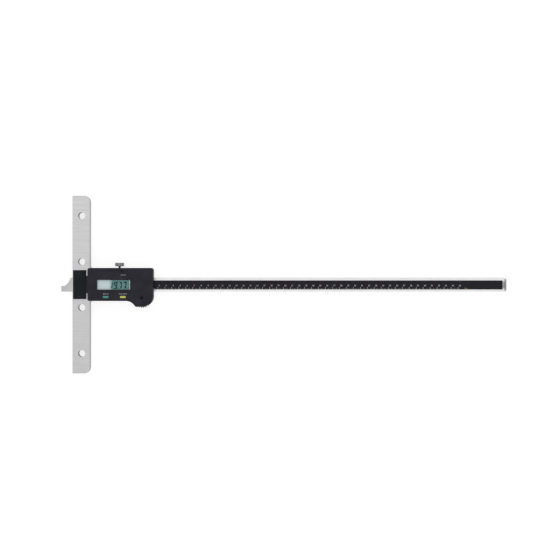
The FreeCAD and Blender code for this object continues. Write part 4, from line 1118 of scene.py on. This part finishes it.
@dataclass
class MeasuringBeam:
    """Steel beam with its graduated film and the stop at its far end.

    A tick and a figure stand every 10 mm, a shorter tick half way and the shortest every millimetre.
    """

    beam_edge: float = 0.22 * MM
    stop_edge: float = 0.15 * MM
    film_top: float = 4.86 * MM
    zero: float = 102.3 * MM
    pitch: float = 10.0 * MM
    count: int = 46
    tick_foot: float = -6.85 * MM
    long_tick: float = 3.4 * MM
    middle_tick: float = 2.0 * MM
    fine_tick: float = 1.2 * MM
    tick_width: float = 0.38 * MM
    middle_share: float = 0.45
    fine_share: float = 0.26
    figure_height: float = 2.15 * MM
    figure_middle: float = -1.45 * MM
    figure_aside: float = 2.0 * MM
    second_figure: float = 0.5 * MM
    unit_at: Tuple[float, float] = (563.4 * MM, -5.4 * MM)
    unit_height: float = 1.9 * MM
    stop_screw: Screw = field(default_factory=lambda: Screw(
        head=1.1 * MM, cap=0.75 * MM, shank=0.6 * MM, length=3.5 * MM))
    stop_screw_x: float = 617.55 * MM
    stop_screw_ys: Sequence[float] = (-2.5 * MM, 1.5 * MM)
    stop_screw_top: float = 6.56 * MM

    def build(self) -> None:
        """Builds the beam, its film and its end stop."""
        settle(softened("beam_blade", "steel_beam", self.beam_edge), LAPPED_STEEL.build(), "beam",
               "ground_steel", "beam_blade")
        dress("scale_film", FILM_ENAMEL.build())
        steel = SCREW_STEEL.build()
        settle(softened("end_stop", "stop_bracket", self.stop_edge), TURNED_STEEL.build(), "beam",
               "small_steel", "end_stop")
        pair = [self.stop_screw.make(f"stop_screw_{i}", (self.stop_screw_x, y, self.stop_screw_top))
                for i, y in enumerate(self.stop_screw_ys)]
        settle(unite("stop_bracket_screws", pair), steel, "beam", "small_steel", "end_stop_screws")
        self.graduate()

    def ticks(self, xs: np.ndarray, length: float, width: float) -> Tuple[np.ndarray, np.ndarray]:
        """Corners of upright ticks whose feet stand on one line.

        Args:
            xs: places along the beam.
            length: length of each tick.
            width: width of each tick.

        Returns:
            Lowest and highest corners.
        """
        ones = np.ones_like(xs)
        low = np.stack([xs - width / 2, ones * self.tick_foot, ones * self.film_top], axis=1)
        high = np.stack([xs + width / 2, ones * (self.tick_foot + length),
                         ones * (self.film_top + Layer.PRINT.value)], axis=1)
        return low, high

    def graduate(self) -> None:
        """Puts the graduations and their figures on the film."""
        ink = SCALE_INK.build()
        whole = self.zero + self.pitch * np.arange(self.count)
        half = whole[:-1] + self.pitch / 2
        fine = np.arange(10 * (self.count - 1) + 1)
        fine = self.zero + self.pitch / 10 * fine[fine % 5 != 0]
        sets = [self.ticks(whole, self.long_tick, self.tick_width),
                self.ticks(half, self.middle_tick, self.tick_width * self.middle_share),
                self.ticks(fine, self.fine_tick, self.tick_width * self.fine_share)]
        low = np.vstack([low for low, _ in sets])
        high = np.vstack([high for _, high in sets])
        settle(slabs("graduations", low, high), ink, "beam", "scale_black")
        figures = [(str(n), float(x) + self.figure_aside + self.second_figure * (n > 9), self.figure_middle)
                   for n, x in enumerate(whole) if n > 0]
        settle(lettering("scale_figures", figures, self.figure_height, self.film_top), ink, "beam",
               "scale_black")
        settle(lettering("scale_unit", [("mm", *self.unit_at)], self.unit_height, self.film_top),
               TAN_INK.build(), "beam", "scale_black")


@dataclass
class DisplayDigits:
    """Seven-bar figures of the display, leaning to the right."""

    level: float = 14.5 * MM
    foot: float = -6.1 * MM
    height: float = 10.3 * MM
    width: float = 5.0 * MM
    stroke: float = 1.85 * MM
    gap: float = 0.12 * MM
    lean: float = 0.13
    point_at: float = 66.1 * MM
    point_rise: float = 0.6 * MM
    point_radius: float = 0.55 * MM
    bars: Dict[str, str] = field(default_factory=lambda: {"1": "bc", "7": "abc", "9": "abcdfg"})
    figures: Sequence[Tuple[str, float]] = (
        ("1", 53.3 * MM), ("9", 59.9 * MM), ("7", 66.35 * MM), ("7", 72.8 * MM))

    def bar(self, kind: str, left: float) -> np.ndarray:
        """Outline of one bar, whose ends are cut at 45 degrees so that bars meet in a mitre.

        The bars run clockwise round the figure, so the outer side lies to the left of the run. There a
        bar reaches half a stroke past its end at a corner of the figure, and up to its end half way up.
        On the inner side, and on both sides of the middle bar, it stops half a stroke short.

        Args:
            kind: letter of the bar, from a at the top, clockwise, to f, with g in the middle.
            left: the figure's left side.

        Returns:
            Six corners.
        """
        half = self.stroke / 2
        near, far = left + half, left + self.width - half
        low, middle, high = self.foot + half, self.foot + self.height / 2, self.foot + self.height - half
        run = {
            "a": ((near, high), (far, high), 1, 1),
            "b": ((far, high), (far, middle), 1, 0),
            "c": ((far, middle), (far, low), 0, 1),
            "d": ((far, low), (near, low), 1, 1),
            "e": ((near, low), (near, middle), 1, 0),
            "f": ((near, middle), (near, high), 0, 1),
            "g": ((near, middle), (far, middle), -1, -1)}
        start, end, past_start, past_end = run[kind]
        start, end = np.array(start), np.array(end)
        along = (end - start) / np.linalg.norm(end - start)
        across = np.array([-along[1], along[0]]) * half
        start, end = start + along * self.gap, end - along * self.gap
        return np.array([start, start - along * half * past_start + across,
                         end + along * half * past_end + across, end,
                         end - along * half - across, start + along * half - across])

    def build(self) -> None:
        """Builds the reading and its decimal point as one thin mesh."""
        outlines = [self.bar(kind, left) for figure, left in self.figures for kind in self.bars[figure]]
        dot = np.array([self.point_at, self.foot + self.point_rise])
        turn = np.arange(6) * math.pi / 3
        outlines.append(dot + self.point_radius * np.stack([np.cos(-turn), np.sin(-turn)], axis=1))
        flat = np.vstack(outlines)
        flat[:, 0] += (flat[:, 1] - self.foot) * self.lean
        low = np.column_stack([flat, np.full(len(flat), self.level)])
        high = low + np.array([0, 0, Layer.DIGIT.value])
        first = np.arange(0, len(flat), 6)
        ring = first[:, None] + np.arange(6)[None, :]
        beside = first[:, None] + (np.arange(6) + 1)[None, :] % 6
        walls = np.stack([ring, beside, beside + len(flat), ring + len(flat)], axis=-1).reshape(-1, 4)
        faces = walls.tolist() + ring.tolist() + (ring[:, ::-1] + len(flat)).tolist()
        digits = put_mesh("display_digits", np.vstack([low, high]), faces, smooth=False)
        outward(digits)
        shade(digits, False)
        settle(digits, DIGIT_INK.build(), "gauge", "lcd")


@dataclass
class DisplayUnit:
    """Moulded cover with its window, the liquid crystal, the boards behind it and the printed labels.

    A label is its word, the X and Y of its middle, its height and its letter spacing. The painted
    highlight strip and the pane are rectangles: lowest X and Y, highest X and Y.
    """

    cover_edge: float = 0.35 * MM
    window_edge: float = 0.2 * MM
    cell_edge: float = 0.1 * MM
    front: float = 17.0 * MM
    labels: Sequence[Tuple[str, float, float, float, float]] = (
        ("ORIGIN", 74.4 * MM, 13.6 * MM, 1.5 * MM, 1.1), ("ZERO", 49.3 * MM, -13.3 * MM, 1.9 * MM, 1.3),
        ("ON/OFF", 73.9 * MM, -13.3 * MM, 1.9 * MM, 1.3))
    glass_top: float = 14.5 * MM
    seal: Tuple[float, float, float, float] = (82.6 * MM, -6.8 * MM, 83.7 * MM, 6.3 * MM)
    pane: Tuple[float, float, float, float] = (37.1 * MM, -7.3 * MM, 84.0 * MM, 6.7 * MM)
    border: float = 0.12 * MM
    unit_at: Tuple[float, float] = (81.0 * MM, -5.0 * MM)
    unit_height: float = 1.6 * MM

    def build(self) -> None:
        """Builds the cover, what shows through its window and its printed words."""
        settle(softened("housing", "moulded_cover", self.cover_edge), HOUSING_PLASTIC.build(), "gauge",
               "housing_black", "housing")
        settle(softened("display_window", "window_pane", self.window_edge), WINDOW_PANE.build(), "gauge",
               "clear_window", "display_window")
        settle(softened("lcd_panel", "liquid_crystal", self.cell_edge), DISPLAY_CELL.build(), "gauge", "lcd",
               "lcd_panel")
        # Painted highlight: a pale strip where the window's right bevel catches the light
        left, low, right, high = self.seal
        strip = slabs("cell_edge_highlight", np.array([[left, low, self.glass_top]]),
                      np.array([[right, high, self.glass_top + Layer.PRINT.value]]))
        settle(strip, HIGHLIGHT_INK.build(), "gauge", "lcd")
        left, low, right, high = self.pane
        # Painted shade: a thin dark band round the display, where the opening's wall shades it
        wide, foot, top = self.border, self.glass_top, self.glass_top + Layer.PRINT.value
        edges = np.array([[left, low, foot, right, low + wide, top],
                          [left, high - wide, foot, right, high, top],
                          [left, low + wide, foot, left + wide, high - wide, top],
                          [right - wide, low + wide, foot, right, high - wide, top]])
        settle(slabs("display_recess_shade", edges[:, :3], edges[:, 3:]), RECESS_SHADE_INK.build(), "gauge", "lcd")
        DisplayDigits().build()
        ink = LIGHT_INK.build()
        for number, (word, x, y, height, spacing) in enumerate(self.labels):
            settle(lettering(f"cover_label_{number}", [(word, x, y)], height, self.front, spacing), ink,
                   "gauge", "housing_black")
        settle(lettering("display_unit_mark", [("mm", *self.unit_at)], self.unit_height, self.glass_top),
               DIGIT_INK.build(), "gauge", "lcd")
        laminate = BOARD_LAMINATE.build()
        for node in ("reading_board", "main_board"):
            dress(node, laminate)
        steel = SCREW_STEEL.build()
        for node in ("board_screws", "board_spacers"):
            dress(node, steel)
        dress("controller_chip", CHIP_EPOXY.build())
        dress("contact_strips", KEYPAD_RUBBER.build())
        dress("keypad", KEYPAD_RUBBER.build())


@dataclass
class Keys:
    """The two printed keys and the small round one in its dish."""

    edge: float = 0.45 * MM

    def build(self) -> None:
        """Builds the three keys, each on its own body."""
        for node, finish, slot in (("zero", TEAL_KEY, "teal"), ("power", YELLOW_KEY, "yellow"),
                                   ("origin", DARK_KEY, "housing_black")):
            settle(softened(f"{node}_button", f"{node}_key_cap", self.edge, segments=4), finish.build(),
                   f"{node}_key", slot, f"{node}_button")


@dataclass
class ThumbWheelDrive:
    """Toothed thumb wheel, its rubber drive ring, washer and shouldered axle."""

    tooth_edge: float = 0.15 * MM
    axle_edge: float = 0.1 * MM

    def build(self) -> None:
        """Builds the wheel that rolls on the beam's lower edge."""
        settle(softened("thumb_wheel", "toothed_wheel", self.tooth_edge), WHEEL_PLASTIC.build(), "wheel",
               "wheel_black", "thumb_wheel")
        dress("drive_ring", DRIVE_RUBBER.build())
        dress("wheel_washer", SCREW_STEEL.build())
        settle(softened("wheel_axle", "slotted_axle", self.axle_edge), AXLE_STEEL.build(), "gauge",
               "dark_steel", "wheel_axle")


@dataclass
class ClampScrew:
    """Straight-knurled clamp screw with its brass pad."""

    place: Point = (67.3 * MM, 0.0, 2.96 * MM)
    tip: float = 14.02 * MM
    shank: float = 1.5 * MM
    head_start: float = 26.4 * MM
    head_end: float = 31.3 * MM
    head: float = 6.5 * MM
    flutes: int = 16
    flute_depth: float = 0.85 * MM
    edge: float = 0.35 * MM
    dish: float = 0.3 * MM

    def build(self) -> None:
        """Builds the screw as a turned profile whose rim is drawn in at each flute."""
        head, edge, shank = self.head, self.edge, self.shank
        radii = np.array([0, 3.6 * MM, 4.2 * MM, head - 2.2 * edge, head - edge, head - 0.3 * edge, head, head,
                          head, head, head - 0.3 * edge, head - edge, 2.6 * MM, 2.3 * MM, 0])
        ends, start = self.head_end, self.head_start
        heights = np.array([ends - self.dish, ends - self.dish, ends, ends, ends, ends - 0.3 * edge, ends - edge,
                            ends - 1.6 * MM, start + 1.6 * MM, start + edge, start + 0.3 * edge, start, start,
                            start - 0.4 * MM, start - 0.4 * MM])

        def ripple(radius: np.ndarray, height: np.ndarray, angle: np.ndarray) -> np.ndarray:
            """Flutes: the rim falls in by a rounded groove once every flute.

            Args:
                radius: distance from the axis.
                height: height along the axis, which leaves the flutes as they are.
                angle: angle round the axis.

            Returns:
                The change of radius.
            """
            groove = np.clip(np.cos(angle * self.flutes) * 1.6 - 0.4, 0, 1)
            share = np.clip((radius - (self.head - 2.2 * self.edge)) / (1.2 * self.edge), 0, 1)
            return -self.flute_depth * groove * share

        knob = lathe("knurled_clamp", radii, heights, self.place, self.flutes * 14, Along.Y, ripple)
        settle(knob, KNURLED_STEEL.build(), "clamp", "small_steel", "clamp_screw")
        # The stem is the same screw as the knob; its dark steel is painted shade where it lies under the knob
        stem = lathe("clamp_stem", np.array([0, shank - 0.2 * MM, shank, shank, shank - 0.3 * MM, 0]),
                     np.array([start, start, start - 0.2 * MM, self.tip + 0.3 * MM, self.tip, self.tip]),
                     self.place, 48, Along.Y)
        settle(stem, DARK_STEEL.build(), "clamp", "dark_steel")
        dress("clamp_pad", ROLLED_BRASS.build())


@dataclass
class BatteryTray:
    """Drawer at the end of the cover with its round cell, and the contacts that meet it."""

    drawer_edge: float = 0.25 * MM
    cell_edge: float = 0.35 * MM

    def build(self) -> None:
        """Builds the drawer, cell and contacts."""
        settle(softened("battery_tray", "cell_drawer", self.drawer_edge), HOUSING_PLASTIC.build(), "tray",
               "housing_black", "battery_tray")
        settle(softened("battery_cell", "round_cell", self.cell_edge), CELL_STEEL.build(), "tray",
               "cell_steel", "battery_cell")
        dress("cell_contacts", TINNED_CONTACT.build())


@dataclass
class DataPort:
    """Output connector in the cover's upper edge and the cap that closes it."""

    cap_edge: float = 0.25 * MM

    def build(self) -> None:
        """Builds the connector and its cap."""
        dress("port_connector", CHIP_EPOXY.build())
        settle(softened("port_cap", "output_cap", self.cap_edge), HOUSING_PLASTIC.build(), "cap",
               "housing_black", "port_cap")


@dataclass
class Studio:
    """Pale floor, white surroundings, two soft lamps and the camera straight above."""

    floor_level: float = -5.05 * MM
    camera_at: Point = (0.2972, 0.0066, 1.6549)
    lens: float = 74.07
    sensor: float = 36.0
    floor_reach: float = 3.0
    fade_from: float = 0.6
    fade_to: float = 1.3
    paper: str = "868686"
    glow: float = 0.81
    sky: float = 0.85
    lamp_width: float = 2.0
    key_at: Point = (-0.2, 1.1, 2.1)
    key_watts: float = 7.0
    fill_at: Point = (0.9, -1.1, 2.1)
    fill_watts: float = 5.0

    @staticmethod
    def seen(tree: bpy.types.NodeTree) -> bpy.types.NodeSocket:
        """Tells what looks at a surface.

        Args:
            tree: the material's or world's node tree.

        Returns:
            1 for the camera, a reflection or glass, and 0 for light.
        """
        path = add_node(tree, "ShaderNodeLightPath")
        seen = add_node(tree, "ShaderNodeMath", {
            0: path.outputs["Is Camera Ray"], 1: path.outputs["Is Glossy Ray"]}, operation="MAXIMUM")
        return add_node(tree, "ShaderNodeMath", {
            0: seen.outputs[0], 1: path.outputs["Is Transmission Ray"]}, operation="MAXIMUM").outputs[0]

    def floor(self) -> None:
        """Builds a large floor that shows white to the camera and keeps the shadow."""
        span = np.linspace(-self.floor_reach, self.floor_reach, 41)
        x, y = np.meshgrid(span + self.camera_at[0], span, indexing="ij")
        points = np.stack([x, y, np.full_like(x, self.floor_level)], axis=-1).reshape(-1, 3)
        n = len(span)
        corner = (np.arange(n - 1)[:, None] * n + np.arange(n - 1)[None, :]).ravel()
        faces = np.stack([corner, corner + n, corner + n + 1, corner + 1], axis=1).tolist()
        ground = put_mesh("studio_floor", points, faces, smooth=False)
        material, tree, place = new_material("white seamless paper")
        centred = add_node(tree, "ShaderNodeMapping", {
            "Vector": place, "Location": (-self.camera_at[0], 0, 0)})
        distance = add_node(tree, "ShaderNodeVectorMath", {0: centred.outputs[0]}, operation="LENGTH")
        far = ramp(tree, distance.outputs["Value"], self.fade_from, self.fade_to, 0.0, 1.0)
        # Paper shows its shadow near the gauge and runs out to plain white, as a lit backdrop does
        colour = blend_colours(tree, far, linear(self.paper), (0.0, 0.0, 0.0, 1.0))
        paper = add_node(tree, "ShaderNodeBsdfPrincipled", {
            "Base Color": colour, "Roughness": 0.9, "Specular IOR Level": 0.0})
        glow = add_node(tree, "ShaderNodeMath", {
            0: ramp(tree, far, 0.0, 1.0, self.glow, 1.0), 1: self.seen(tree)}, operation="MULTIPLY")
        light = add_node(tree, "ShaderNodeEmission", {"Color": (1, 1, 1, 1), "Strength": glow.outputs[0]})
        both = add_node(tree, "ShaderNodeAddShader", {0: paper.outputs[0], 1: light.outputs[0]})
        add_node(tree, "ShaderNodeOutputMaterial", {"Surface": both.outputs[0]})
        ground.data.materials.append(material)

    def world(self) -> None:
        """Makes the surroundings white to the camera and reflections, and soft grey as a light."""
        world = bpy.data.worlds.new("studio_surroundings")
        bpy.context.scene.world = world
        world.use_nodes = True
        tree = world.node_tree
        tree.nodes.clear()
        strength = ramp(tree, self.seen(tree), 0.0, 1.0, self.sky, 1.0)
        light = add_node(tree, "ShaderNodeBackground", {"Color": (1, 1, 1, 1), "Strength": strength})
        add_node(tree, "ShaderNodeOutputWorld", {"Surface": light.outputs[0]})

    def lamp(self, name: str, place: Point, aim: Point, power: float) -> None:
        """Adds a square area lamp.

        Args:
            name: the lamp's name.
            place: where it stands.
            aim: the point that it faces.
            power: its power in watts.
        """
        light = bpy.data.lights.new(name, "AREA")
        light.size = self.lamp_width
        light.energy = power
        stand = bpy.data.objects.new(name, light)
        stand.location = place
        stand.rotation_euler = (Vector(aim) - Vector(place)).to_track_quat("-Z", "Y").to_euler()
        bpy.context.scene.collection.objects.link(stand)

    def camera(self) -> None:
        """Places the camera over the gauge, level with the page."""
        lens = bpy.data.cameras.new("copy_camera")
        lens.lens = self.lens
        lens.sensor_width = self.sensor
        lens.clip_end = 20.0
        stand = bpy.data.objects.new("copy_camera", lens)
        stand.location = self.camera_at
        bpy.context.scene.collection.objects.link(stand)
        bpy.context.scene.camera = stand

    def build(self) -> None:
        """Builds the whole studio."""
        self.floor()
        self.world()
        middle = (self.camera_at[0], self.camera_at[1], 0.0)
        self.lamp("key_lamp", self.key_at, middle, self.key_watts)
        self.lamp("fill_lamp", self.fill_at, middle, self.fill_watts)
        self.camera()
        bpy.context.scene.view_settings.view_transform = "Standard"


def main() -> None:
    """Builds every sub-assembly."""
    logging.basicConfig(level=logging.INFO, format="%(name)s: %(message)s")
    for assembly in (BaseUnit(), BeamGuide(), MeasuringBeam(), DisplayUnit(), Keys(), ThumbWheelDrive(),
                     ClampScrew(), BatteryTray(), DataPort(), Studio()):
        log.info("building %s", type(assembly).__name__)
        assembly.build()


if __name__ == "__main__":
    main()
